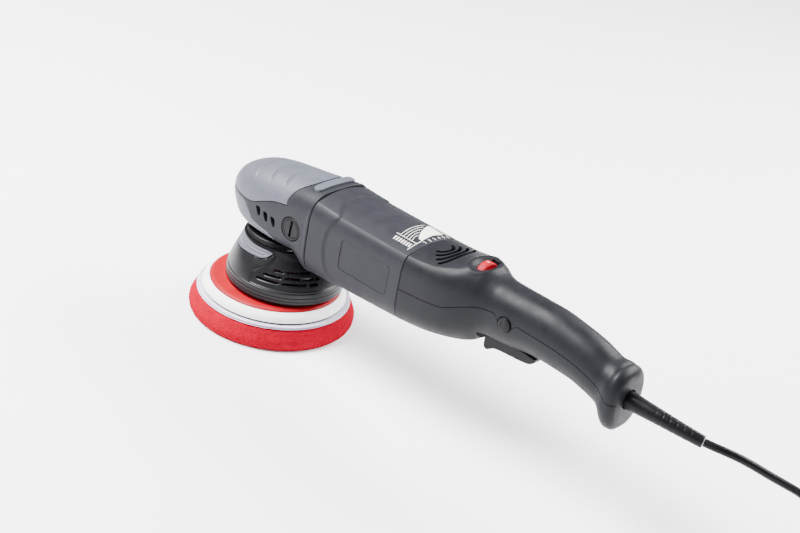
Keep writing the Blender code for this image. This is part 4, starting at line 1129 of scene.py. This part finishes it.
def upper_relief(places, normals):
    """The dial's bowl with its raised rim, and the pommel's groove."""
    outer = is_outer(places, normals)
    reach = np.hypot((places[:, 0] - DIAL_X + 1.5) / BOWL_X, places[:, 1] / BOWL_Y)
    bowl = -BOWL_DEPTH * (1 - step_up(reach, 0.35, 1.0)) * step_up(places[:, 2], 132, 136)
    rim = 0.5 * hill(reach, 1.08, 0.14) * step_up(normals[:, 2], 0.1, 0.3) * outer
    groove = -0.45 * hill(places[:, 0], 340.2, 2.4) * step_up(places[:, 2], 112, 122)
    return np.column_stack([np.zeros(len(places)), normals[:, 1] * groove * outer,
                            bowl + rim + normals[:, 2] * groove * outer])


def lower_relief(places, normals):
    """The lower shell's faint groove below the pommel's ridge."""
    outer = is_outer(places, normals)
    groove = -0.3 * hill(places[:, 0], 340.2, 2.4) * step_up(places[:, 2], 96, 104)
    return normals * (0, 1, 1) * (groove * outer)[:, None]


# Each vent behind the motor is half an oval: its middle on the axis, its half width and how far its ends
# reach forwards
REAR_VENTS = [(166.4, 9.2, 7.0), (170.4, 13.8, 7.4), (174.5, 18.2, 7.0), (178.7, 22.0, 6.2)]
VENT_WIDTH = 2.7


def rear_vent(name, middle, reach, depth):
    """A cutter for one arc-shaped vent whose ends curl forwards, with a flared mouth."""
    rings = []
    for turn in np.radians(np.linspace(-88, 88, 49)):
        x = middle - depth * (1 - math.cos(turn))
        y = reach * math.sin(turn)
        across = np.array([reach * math.cos(turn), depth * math.sin(turn)])
        across /= np.linalg.norm(across)
        top = 142.6 - 0.0045 * y ** 2
        half = VENT_WIDTH / 2
        ring = []
        for height, spread in ((-14.0, 0.0), (-1.0, 0.0), (0.0, 0.35), (14.0, 0.7)):
            ring.append((x - across[0] * (half + spread), y - across[1] * (half + spread), top + height))
        for height, spread in ((14.0, 0.7), (0.0, 0.35), (-1.0, 0.0), (-14.0, 0.0)):
            ring.append((x + across[0] * (half + spread), y + across[1] * (half + spread), top + height))
        rings.append(np.array(ring))
    return loft(name, rings)


def button_hole(name):
    """A cutter for the lock button's hole, its mouth flared."""
    radius = BUTTON_RADIUS + 0.45
    profile = [(radius, -11), (radius, -18.9), (radius + 0.5, -19.7), (radius + 1.4, -21.5),
               (radius + 1.4, -30)]
    return turned(name, profile, axis="Y", centre=(BUTTON_X, 0, BUTTON_Z), count=64)


TRIGGER_PIVOT = (264.0, 104.0)
TRIGGER_OPENING = (217.8, 270.5)
TRIGGER_SLOT = 8.9


def rear_shells():
    upper = rear_shell("rear_upper_shell", True)
    lower = rear_shell("rear_lower_shell", False)
    slot = block("dial_slot", (DIAL_X - 4.0, -10.2, 130), (DIAL_X + 4.0, 12.4, 154))
    vents = [rear_vent(f"rear_vent_{number}", *row) for number, row in enumerate(REAR_VENTS)]
    carve(upper, slot, button_hole("upper_button_hole"), *vents)
    front, rear = TRIGGER_OPENING
    under = block("trigger_clearance", (front, -30, 70), (rear, 30, 100))
    web = block("trigger_slot", (front, -TRIGGER_SLOT, 90), (rear, TRIGGER_SLOT, 112))
    carve(lower, under, web, button_hole("lower_button_hole"))
    finished(upper, handle_plastic(), "tool_body", "charcoal_plastic", "rear_upper_shell", sharp=26)
    finished(lower, handle_plastic(), "tool_body", "charcoal_plastic", "rear_lower_shell", sharp=26)


# ---------------------------------------------------------------- controls

TRIGGER_SHOE = [(220.0, 99.3), (219.8, 90), (220.5, 85.2), (223.5, 84), (226.5, 85.8), (230, 88.2), (236, 89.2),
                (256, 90.6), (264, 91.8), (268.3, 95), (269, 99.3)]
TRIGGER_WEB = [(221, 98), (268, 98), (268.5, 106.5), (262, 108), (232, 106), (223, 104.5)]


def trigger():
    """The paddle trigger: a shoe with a finger groove and lip, on a web that swings on its pin."""
    shoe = prism("trigger_skin", rounded(TRIGGER_SHOE, 1), -8.2, 8.2)
    web = prism("trigger_web", TRIGGER_WEB, -6.4, 6.4)
    combine(shoe, "UNION", web)
    pivot = (TRIGGER_PIVOT[0], 0, TRIGGER_PIVOT[1])
    bore = turned("trigger_bore", [(1.9, -20), (1.9, 20)], axis="Y", centre=pivot, count=24)
    carve(shoe, bore)
    soften(shoe, 0.42, rounds=5)
    return finished(shoe, dark_plastic(), "trigger_lever", "black_plastic", "trigger", sharp=60)


def lock_button():
    """The lock button, slightly domed, with a fine ring."""
    centre = (BUTTON_X, 0, BUTTON_Z)
    profile = [(BUTTON_RADIUS, -15.5), (BUTTON_RADIUS, -20.3), (BUTTON_RADIUS - 0.25, -20.75),
               (BUTTON_RADIUS - 0.7, -20.95), (3.4, -21.0), (3.1, -20.75), (2.8, -21.0), (0.8, -21.05)]
    button = turned("lock_button_skin", profile, axis="Y", centre=centre, count=64)
    return finished(button, dark_plastic(), "lock_button_key", "black_plastic", "lock_button")


def speed_dial():
    """The dial's drum with fine grip ridges, and digits standing on its rim."""
    half = DIAL_WIDTH / 2
    rings = []
    count = 360
    angles = np.arange(count) * 2 * math.pi / count
    ridges = 0.22 * (np.cos(angles * 60) > 0)
    for radius, x, ridged in ((7.0, -half, 0), (DIAL_RADIUS - 0.9, -half, 0),
                              (DIAL_RADIUS - 0.35, -half + 0.35, 1),
                              (DIAL_RADIUS - 0.15, -half + 0.9, 1), (DIAL_RADIUS - 0.15, -half + 1.5, 1),
                              (DIAL_RADIUS - 0.15, -half + 1.6, 0), (DIAL_RADIUS - 0.15, half - 1.6, 0),
                              (DIAL_RADIUS - 0.15, half - 1.5, 1), (DIAL_RADIUS - 0.15, half - 0.9, 1),
                              (DIAL_RADIUS - 0.35, half - 0.35, 1), (DIAL_RADIUS - 0.9, half, 0),
                              (7.0, half, 0)):
        reach = radius - ridged * ridges
        rings.append(np.column_stack([np.full(count, DIAL_X + x), reach * np.sin(angles),
                                      DIAL_Z + reach * np.cos(angles)]))
    drum = loft("speed_dial_skin", rings)
    finished(drum, red_plastic(), "dial", "red_plastic", "speed_dial")
    for number in range(6):
        digit = strokes(f"dial_digit_{number + 1}", DIGITS[number + 1], 2.3, 0.42)
        turn = math.radians(-number * 54)
        stand = Matrix(((0, 1, 0), (-1, 0, 0), (0, 0, 1))).to_4x4()
        on_drum = Matrix.Rotation(turn, 4, "X") @ Matrix.Translation((0, 0, DIAL_RADIUS - 0.12)) @ stand
        place_print(digit, on_drum, (DIAL_X, 0, DIAL_Z))
        finished(digit, print_ink(), "dial", "red_plastic")


# ---------------------------------------------------------------- printing

# Strokes of plain digits on a grid 1 wide and 2 high
DIGITS = {
    1: [[(0.2, 1.6), (0.6, 2.0), (0.6, 0.0)]],
    2: [[(0.0, 1.6), (0.2, 1.95), (0.8, 1.95), (1.0, 1.5), (0.0, 0.0), (1.0, 0.0)]],
    3: [[(0.0, 1.9), (0.9, 1.9), (0.4, 1.1), (0.9, 0.9), (0.9, 0.2), (0.5, 0.0), (0.0, 0.1)]],
    4: [[(0.8, 0.0), (0.8, 2.0), (0.0, 0.6), (1.0, 0.6)]],
    5: [[(0.95, 2.0), (0.1, 2.0), (0.05, 1.1), (0.7, 1.2), (1.0, 0.7), (0.8, 0.1), (0.0, 0.05)]],
    6: [[(0.8, 2.0), (0.2, 1.3), (0.0, 0.6), (0.3, 0.0), (0.8, 0.05), (1.0, 0.6), (0.7, 1.05), (0.1, 0.8)]],
}
PRINT_THICKNESS = 0.12
WEDGE_OUTLINE = [(142.2, -6.7), (138.5, -6.2), (135.5, -2.4), (130.5, 6.3), (126.5, 14.9), (123.3, 22.9),
                 (127.9, 23.0), (135.2, 21.9), (141.0, 20.6), (140.0, 9.9), (141.2, 0.3)]


def strokes(name, lines, height, width):
    """Flat raised strokes of a given width, centred on the origin, drawn in the XY plane, in millimetres."""
    points, faces = [], []
    for line in lines:
        path = (np.array(line, dtype=float) - (0.5, 1.0)) * height / 2
        add_stroke(points, faces, path, width)
    return link(name, mesh_from(name, np.array(points) + (0, 0, SETTLE), faces))


def add_stroke(points, faces, path, width):
    """Add one stroke with square ends to lists of points and faces."""
    along = np.gradient(path, axis=0)
    along /= np.linalg.norm(along, axis=1)[:, None]
    across = np.column_stack([-along[:, 1], along[:, 0]]) * width / 2
    first = len(points)
    for place_on_path, side in zip(path, across):
        left, right = place_on_path + side, place_on_path - side
        for z in (0.0, PRINT_THICKNESS):
            points.append((*left, z))
            points.append((*right, z))
    last = len(path) - 1
    for k in range(last):
        a, b = first + 4 * k, first + 4 * (k + 1)
        faces += [(a + 2, b + 2, b + 3, a + 3)[::-1], (a, a + 1, b + 1, b)[::-1], (a, b, b + 2, a + 2)[::-1],
                  (a + 1, a + 3, b + 3, b + 1)[::-1]]
    end = first + 4 * last
    faces += [(first, first + 2, first + 3, first + 1)[::-1], (end, end + 1, end + 3, end + 2)[::-1]]


def place_print(piece, matrix, centre):
    """Stand a printed piece on a place: its own matrix in millimetres about a centre in design millimetres."""
    mesh = piece.data
    shrink = Matrix.Scale(MM, 4)
    mesh.transform(Matrix.Translation(Vector(world(centre))) @ shrink @ matrix @ shrink.inverted())
    mesh.update()


def facet_height(x, y):
    """Height of the motor housing's top facet."""
    corner, width, exponent, top, middle, _, _ = smooth_row(BODY_SECTIONS, x)
    corner_z = middle + (top - middle) * (1 - (corner / width) ** exponent) ** (1 / exponent)
    return top - (top - corner_z) * (y / corner) ** 2


def speed_chart():
    """The plain chart printed on the motor housing's top: two axes, bars, curves, digits and a solid wedge."""
    paths = [(np.array([(121.1, -12.9), (142.6, -12.9)]), 0.5),
             (np.array([(142.7, -23.5), (142.5, -6.9)]), 0.5)]
    for number in range(7):
        x = 124.2 + 2.6 * number
        paths.append((np.array([(x, -16.0), (x + 0.9, -20.6)]), 1.2))
    for number in range(5):
        along = np.linspace(0, 1, 20)
        start, reach = 125.0 + 3.1 * number, 33.0 - 5.6 * number
        paths.append((np.column_stack([start - 3.1 * np.sin(1.9 * along), -12.9 + reach * along]), 0.4))
    for y in (24.6, 26.2):
        paths.append((np.array([(123.5, y), (142.5, y)]), 0.35))
    for number in range(1, 7):
        for line in DIGITS[number]:
            corners = (np.array(line) - (0.5, 1.0)) * 1.5
            paths.append((np.column_stack([145.1 - corners[:, 1], -12.2 + 5.7 * number + corners[:, 0]]), 0.45))
    points, faces = [], []
    for path, width in paths:
        add_stroke(points, faces, spaced(path, max(len(path), 8)), width)
    points = np.array(points)
    for row in points:
        row[2] += facet_height(row[0], row[1]) - 0.02
    chart = link("speed_chart", mesh_from("speed_chart", points, faces))
    finished(chart, print_ink(), "tool_body", "graphite_housing")
    wedge_print("speed_wedge", WEDGE_OUTLINE)


def wedge_print(name, outline):
    """A solid printed shape that follows the crowned top facet."""
    outline = np.array(outline)
    rings = []
    for y in np.linspace(outline[:, 1].min() + 0.05, outline[:, 1].max() - 0.05, 40):
        row = np.linspace(*outline_span(outline[:, ::-1], y), 24)
        top = [(x, y, facet_height(x, y) + PRINT_THICKNESS - 0.02) for x in row]
        under = [(x, y, facet_height(x, y) - 0.02) for x in row[::-1]]
        rings.append(np.array(top + under))
    finished(loft(name, rings), print_ink(), "tool_body", "graphite_housing")


# ---------------------------------------------------------------- plate and pad

PAD_SEED = 7                    # picks the foam's own pattern of cells


def soft_profile(rows, pitch):
    """A turned profile read from a smooth curve, evenly spaced."""
    rows = np.array(rows, dtype=float)
    length = np.linalg.norm(np.diff(rows, axis=0), axis=1).sum()
    return smooth_through(rows, max(8, int(length / pitch)))


def backing_plate():
    """The red top of the plate, with a moulded step, radial ribs and a rounded rim."""
    centre = (ORBIT_X, ORBIT_Y, 0)
    count = 240
    angles = np.arange(count) * 2 * math.pi / count
    profile = [(4.3, 27.0), (4.3, 38.2), (12.0, 38.2), (13.0, 37.9), (16.0, 35.5)]
    profile += [(r, 35.5 - 0.9 * step_up(r, 16, 52) + 0.35 * hill(r, 44.0, 1.2))
                for r in np.arange(17, 52.5, 0.5)]
    profile += [(54.0, 34.5), (55.4, 34.1), (56.2, 33.4), (RED_DISC_RADIUS, 32.6), (RED_DISC_RADIUS, 27.0)]
    rings = []
    for radius, height in profile:
        rib = 0.5 * step_up(radius, 18, 20) * (1 - step_up(radius, 38, 42))
        ring = circle(radius, height, centre=centre, count=count)
        ring[:, 2] += rib * np.clip(np.cos(angles * 12) * 6 - 4.6, 0, 1)
        rings.append(ring)
    plate = tube("backing_plate_skin", rings)
    return finished(plate, red_plastic(), "pad", "red_plastic", "backing_plate")


def plate_cushion():
    """The white microcellular ring under the red disc, and the thin hook face below it."""
    centre = (ORBIT_X, ORBIT_Y, 0)
    profile = [(0.5, 25.3), (0.5, 26.7), (RED_DISC_RADIUS + GAP, 26.7), (RED_DISC_RADIUS + GAP, 32.4)]
    profile += [tuple(row) for row in soft_profile([(56.9, 32.7), (57.6, 32.75), (58.8, 31.9), (61.2, 29.7),
                                                    (62.0, 27.6), (62.45, 25.4)], 0.5)]
    ring = turned_ring("plate_cushion_skin", profile, centre=centre, count=240)
    finished(ring, white_cushion(), "pad", "white_cushion", "plate_cushion")
    edge = PLATE_RADIUS - 0.3
    hooks = turned("hook_layer_skin", [(edge - 0.3, 25.0), (edge, 24.7), (edge, 24.2), (edge - 0.3, 23.9)],
                   centre=centre, count=240)
    finished(hooks, hook_cloth(), "pad", "hook_fabric", "hook_layer")


def pad_loop():
    """The pad's loop cloth: a pale felted disc whose edge is uneven with short fibres."""
    centre = (ORBIT_X, ORBIT_Y, 0)
    rows = soft_profile([(20, 23.75), (62.6, 23.75), (64.6, 23.6), (65.6, 23.0), (65.8, 22.4), (65.3, 21.95),
                         (63.0, 21.9), (20, 21.9)], 0.5)
    loop = turned("pad_loop_skin", rows[::-1], centre=centre, count=420)

    def fibres(places, normals):
        reach = np.hypot(places[:, 0] - ORBIT_X, places[:, 1] - ORBIT_Y)
        rough = np.array([noise.noise(Vector(p) * 1.6) for p in places])
        return normals * (0.32 * rough * step_up(reach, 60.0, 64.5))[:, None]

    displaced(loop, fibres)
    return finished(loop, loop_cloth(), "pad", "loop_fabric", "pad_loop", sharp=80)


def foam_pad():
    """The open-celled foam disc: bulged by the tool's weight, its side pitted with cells, its face flat."""
    centre = (ORBIT_X, ORBIT_Y, 0)
    side = soft_profile([(65.4, 21.6), (67.4, 19.4), (69.3, 15.8), (71.2, 11.8), (71.7, 8.8), (71.3, 6.0),
                         (70.2, 3.9), (68.6, SETTLE)], 0.62)
    top = [(r, FOAM_TOP) for r in np.linspace(10, 64.8, 20)]
    bottom = [(r, SETTLE) for r in np.linspace(68.0, 10, 40)]
    rows = top + [tuple(row) for row in side] + bottom
    pad = turned("foam_pad_skin", rows[::-1], centre=centre, count=700)

    def cells(places, normals):
        upright = 1 - np.abs(normals[:, 2]) ** 6
        above = step_up(places[:, 2], SETTLE, SETTLE + 0.8)
        out = np.zeros(len(places))
        touched = np.nonzero(upright * above > 0.02)[0]
        for k in touched:
            spot = Vector(places[k])
            distances = noise.voronoi(spot * 0.62 + Vector((PAD_SEED, 0, 0)))[0]
            wall = distances[1] - distances[0]
            out[k] = 0.34 * min(wall * 2.2, 1.0) - 0.62 * (1 - min(wall * 2.2, 1.0))
            out[k] = -out[k] * 0.55 + 0.18 * noise.noise(spot * 0.16)
        return normals * (out * upright * above)[:, None]

    displaced(pad, cells)
    finished(pad, foam(), "pad", "red_foam", "foam_pad", sharp=80)
    return pad


# ---------------------------------------------------------------- cord

CORD_ROUTE = [
    (410.3, 8.4, 100.2), (417.5, 10.4, 99.8), (424.3, 13.5, 98.9), (433.8, 19.6, 96.3), (443.3, 27.5, 91.6),
    (452.4, 36.5, 85.6), (461.2, 47.5, 78.6), (469.2, 59.5, 70.7), (475.8, 69.2, 62), (481.6, 77.6, 51.8),
    (486.6, 84.9, 40.8), (491.0, 91.3, 30.2), (495.3, 97.6, 20.6), (499.8, 104.1, 13.2), (504.2, 110.5, 9.0),
    (509.2, 117.6, 6.9),
]
TAIL_ROUTE = [
    (610.8, 100.0, 23.6), (611.9, 87.0, 18.6), (611.4, 75.0, 13.4), (608.2, 62.0, 9.6), (601.4, 50.4, 8.8),
    (592.0, 42.0, 9.8), (583.0, 38.3, 10.9), (574.4, 38.0, 11.0),
]
COIL_START = 143.0              # direction at which the cord joins its coil, degrees
COIL_STOP = 10.0                # direction at which it leaves
TURN_PITCH = 6.45               # from one turn to the next, across and up
TURNS = 15
PLUG_REAR = (574.0, 38.0)
COIL_TURN_STEPS = 60
CROSSING = 75.0                 # how much of a turn the cord takes to cross to the next one, degrees
TIE_DIRECTION = 90.0
TIE_WIDTH = 9.0
FLOOR_REST = SETTLE + CORD_DIAMETER / 2 + 0.1


def coil_seat(turn):
    """The column and layer of a turn: layers are wound in and out in their order, four turns each."""
    layer, across = divmod(turn, 4)
    column = 3 - across if layer % 2 == 0 else across
    return column, layer


def coil_route():
    """The wound turns' points, clockwise from above, each turn crossing to its next seat at its end."""
    points = []
    sweep = TURNS * 360.0 + (COIL_START - COIL_STOP) % 360.0
    for step in range(int(sweep / 360.0 * COIL_TURN_STEPS) + 1):
        swept = step * 360.0 / COIL_TURN_STEPS
        turn, within = divmod(swept, 360.0)
        column, layer = coil_seat(int(turn))
        next_column, next_layer = coil_seat(int(turn) + 1)
        share = step_up(within, 360.0 - CROSSING, 360.0)
        column += (next_column - column) * share
        layer += (next_layer - layer) * share
        direction = math.radians(COIL_START - within)
        radius = COIL_RADIUS + (column - 1.5) * TURN_PITCH
        from_tie = (math.degrees(direction) - TIE_DIRECTION + 180) % 360 - 180
        lifted = (TIE_THICKNESS + GAP) * (1 - step_up(abs(from_tie), 12, 45))
        points.append((COIL_CENTRE[0] + radius * math.cos(direction),
                       COIL_CENTRE[1] + radius * math.sin(direction),
                       FLOOR_REST + layer * TURN_PITCH + lifted))
    return np.array(points)


def power_lead(with_pieces):
    """The whole lead: its free run to the floor, its stored turns, and the tail to the plug."""
    coil = coil_route()
    run = smooth_through(np.vstack([CORD_ROUTE, coil[:2]]), 140)[:-1]
    tail = smooth_through(np.vstack([coil[-2:], TAIL_ROUTE]), 60)[1:]
    route = world(np.vstack([run, coil[1:-1], tail]))
    curve = bpy.data.curves.new("power_lead", "CURVE")
    curve.dimensions = "3D"
    curve.bevel_depth = CORD_DIAMETER / 2 * MM
    curve.bevel_resolution = 5
    curve.use_fill_caps = True
    spline = curve.splines.new("POLY")
    spline.points.add(len(route) - 1)
    spline.points.foreach_set("co", np.column_stack([route, np.ones(len(route))]).ravel())
    spline.use_smooth = True
    lead = bpy.data.objects.new("power_lead", curve)
    bpy.context.scene.collection.objects.link(lead)
    finished(lead, black_rubber(), "tool_body", "black_rubber", "power_cord", "cord_coil", "cord_tail")
    return lead


def strain_relief():
    """The lead's tapered sleeve, with bending ribs along its flexible end."""
    rows = [(341.0, 0, 104.9, 7.6), (346, 0, 104.9, 7.4), (352, 0, 104.9, 7.1), (361, 0.6, 104.5, 6.6),
            (376, 2.2, 103.6, 5.9), (393, 4.8, 102.0, 5.3), (407.0, 7.7, 100.45, 4.8),
            (409.6, 8.25, 100.25, 4.8)]
    path = smooth_through(rows, 160)
    tangents = np.gradient(path[:, :3], axis=0)
    tangents /= np.linalg.norm(tangents, axis=1)[:, None]
    angles = np.arange(48) * 2 * math.pi / 48
    rings = [ring_across((x, 0, GLAND_HEIGHT), (1, 0, 0), 10.0, angles) for x in (337.8, 341.6)]
    for spot, tangent in zip(path, tangents):
        x = spot[0]
        groove = 0.16 * step_up(math.cos(2 * math.pi * (x - 372) / 5.6), 0.55, 0.85) * step_up(x, 371, 373)
        groove *= 1 - step_up(x, 402, 404)
        end = 0.7 * step_up(x, 409.0, 409.6)
        rings.append(ring_across(spot[:3], tangent, spot[3] - groove - end, angles))
    sleeve = loft("strain_relief_skin", rings)
    return finished(sleeve, black_rubber(), "tool_body", "black_rubber", "strain_relief")


def ring_across(centre, tangent, radius, angles):
    """A circle's points across a path."""
    across = np.cross((0.0, 0.0, 1.0), tangent)
    across = across / np.linalg.norm(across)
    up = np.cross(tangent, across)
    return np.asarray(centre) + radius * (np.outer(np.cos(angles), across) + np.outer(np.sin(angles), up))


def cord_tie():
    """The strap round the coil's bundle, its free end lapped over the top."""
    turn = math.radians(TIE_DIRECTION)
    outward_way = np.array([math.cos(turn), math.sin(turn), 0])
    along = np.array([-math.sin(turn), math.cos(turn), 0])
    middle = FLOOR_REST + TIE_THICKNESS + GAP + 1.5 * TURN_PITCH
    centre = np.array([*COIL_CENTRE, middle]) + COIL_RADIUS * outward_way
    reach = COIL_BUNDLE + 0.45
    loop = rounded_rectangle((-reach, -reach + 0.25), (reach, reach - 0.25), 4.2)
    profile = [(0.15, -0.5), (0.0, -0.42), (0.0, 0.42), (0.15, 0.5), (TIE_THICKNESS - 0.15, 0.5),
               (TIE_THICKNESS, 0.42), (TIE_THICKNESS, -0.42), (TIE_THICKNESS - 0.15, -0.5)]
    rings = []
    for thickness, side in profile:
        grown = shrunk(loop, -thickness)
        shift = centre + side * TIE_WIDTH * along
        rings.append(np.array([shift + out * outward_way + (0, 0, rise) for out, rise in grown]))
    tie = tube("cord_tie_skin", rings)
    top = middle + reach + TIE_THICKNESS - 0.25
    lap = []
    for out, rise in ((-9.0, 0.0), (-8.0, 0.1), (6.0, 0.15), (9.0, 0.5), (9.6, 0.9)):
        shift = np.array([*centre[:2], top + rise]) + out * outward_way
        lap.append(np.array([shift + side * TIE_WIDTH * along + (0, 0, up)
                             for side, up in ((-0.5, 0), (0.5, 0), (0.5, 0.8), (-0.5, 0.8))]))
    combine(tie, "UNION", loft("tie_lap", lap))
    return finished(tie, hook_cloth(), "tool_body", "black_fittings", "cord_tie")


def power_plug():
    """A moulded two-pin plug with a waisted grip and finger ribs, its pins sleeved at their roots."""
    x, y = PLUG_REAR
    outline = smooth_through([(0, 5.0), (3, 5.2), (8, 6.2), (20, 6.6), (30, 7.6), (36, 10.6), (40, 11.3),
                              (46, 11.4)], 90)
    rings = []
    turn = np.arange(72) * 2 * math.pi / 72
    for along, half in outline:
        rib = 0.45 * step_up(math.cos(2 * math.pi * (along - 10) / 3.4), 0.2, 0.7)
        rib *= step_up(along, 10, 12) * (1 - step_up(along, 27, 29))
        end = 0.8 * step_up(along, 44.8, 46) + 0.6 * (1 - step_up(along, 0, 1.2))
        rise = min(half, 8.0) - rib - end
        square = (np.abs(np.cos(turn)) ** 3 + np.abs(np.sin(turn)) ** 3) ** (-1 / 3)
        rings.append(np.column_stack([np.full(72, x - along), y + (half - end) * square * np.cos(turn),
                                      SETTLE + 8.05 + rise * square * np.sin(turn)]))
    body = loft("power_plug_skin", rings)
    finished(body, black_rubber(), "tool_body", "black_rubber", "power_plug")
    pins = []
    for side, name in ((-1, "plug_pin_near"), (1, "plug_pin_far")):
        centre = (0, y + side * 7.5, SETTLE + 8)
        profile = [(2.15, x - 45.5), (2.15, x - 55.5), (2.0, x - 55.7), (2.2, x - 56.0), (2.2, x - 64.4),
                   (1.9, x - 65.4), (1.2, x - 65.9)]
        pin = turned(name, profile, axis="X", centre=centre, count=32)
        finished(pin, steel(), "tool_body", "steel")
        pins.append(pin)
    return [body, *pins]


# ---------------------------------------------------------------- the pieces that keep their CAD shape

INSIDE = {
    "steel": ("drive_spindle", "spindle_upper_bearing", "spindle_lower_bearing", "bearing_retainer",
              "counterweight", "orbit_bearing", "pad_spindle", "front_motor_bearing",
              "rear_motor_bearing", "armature_shaft",
              "drive_pinion", "driven_gear", "trigger_pin"),
    "laminate": ("stator_core", "armature_core", "front_bearing_plate"),
    "copper": ("field_winding_front", "field_winding_rear", "armature_winding_front", "armature_winding_rear"),
    "commutator": ("commutator",),
    "brass": ("brush_holder_left", "brush_holder_right"),
    "carbon": ("carbon_brush_left", "carbon_brush_right"),
    "board": ("speed_control_board",),
    "dark": ("cooling_fan", "fan_baffle", "trigger_switch", "cord_clamp"),
}


def inside_pieces():
    """Give every piece that keeps its CAD shape its own procedural finish."""
    surfaces = {"steel": steel(), "laminate": laminate(), "copper": copper_winding(), "brass": brass(),
                "commutator": commutator_copper(), "carbon": carbon(), "board": circuit_board(),
                "dark": dark_plastic()}
    for kind, names in INSIDE.items():
        for name in names:
            kept = frame["nodes"][name]
            for slot in kept.material_slots:
                slot.material = surfaces[kind]


# ---------------------------------------------------------------- the whole scene

def build():
    camera()
    studio()
    power_lead([cord_tie(), *power_plug()])
    strain_relief()
    head_housing()
    rubber_cover()
    nose_pad()
    collar_strap()
    side_plugs()
    neck_seal()
    shroud()
    shroud_insert()
    motor_housing()
    label_plates()
    speed_chart()
    rear_shells()
    trigger()
    lock_button()
    speed_dial()
    backing_plate()
    plate_cushion()
    pad_loop()
    foam_pad()
    inside_pieces()


build()
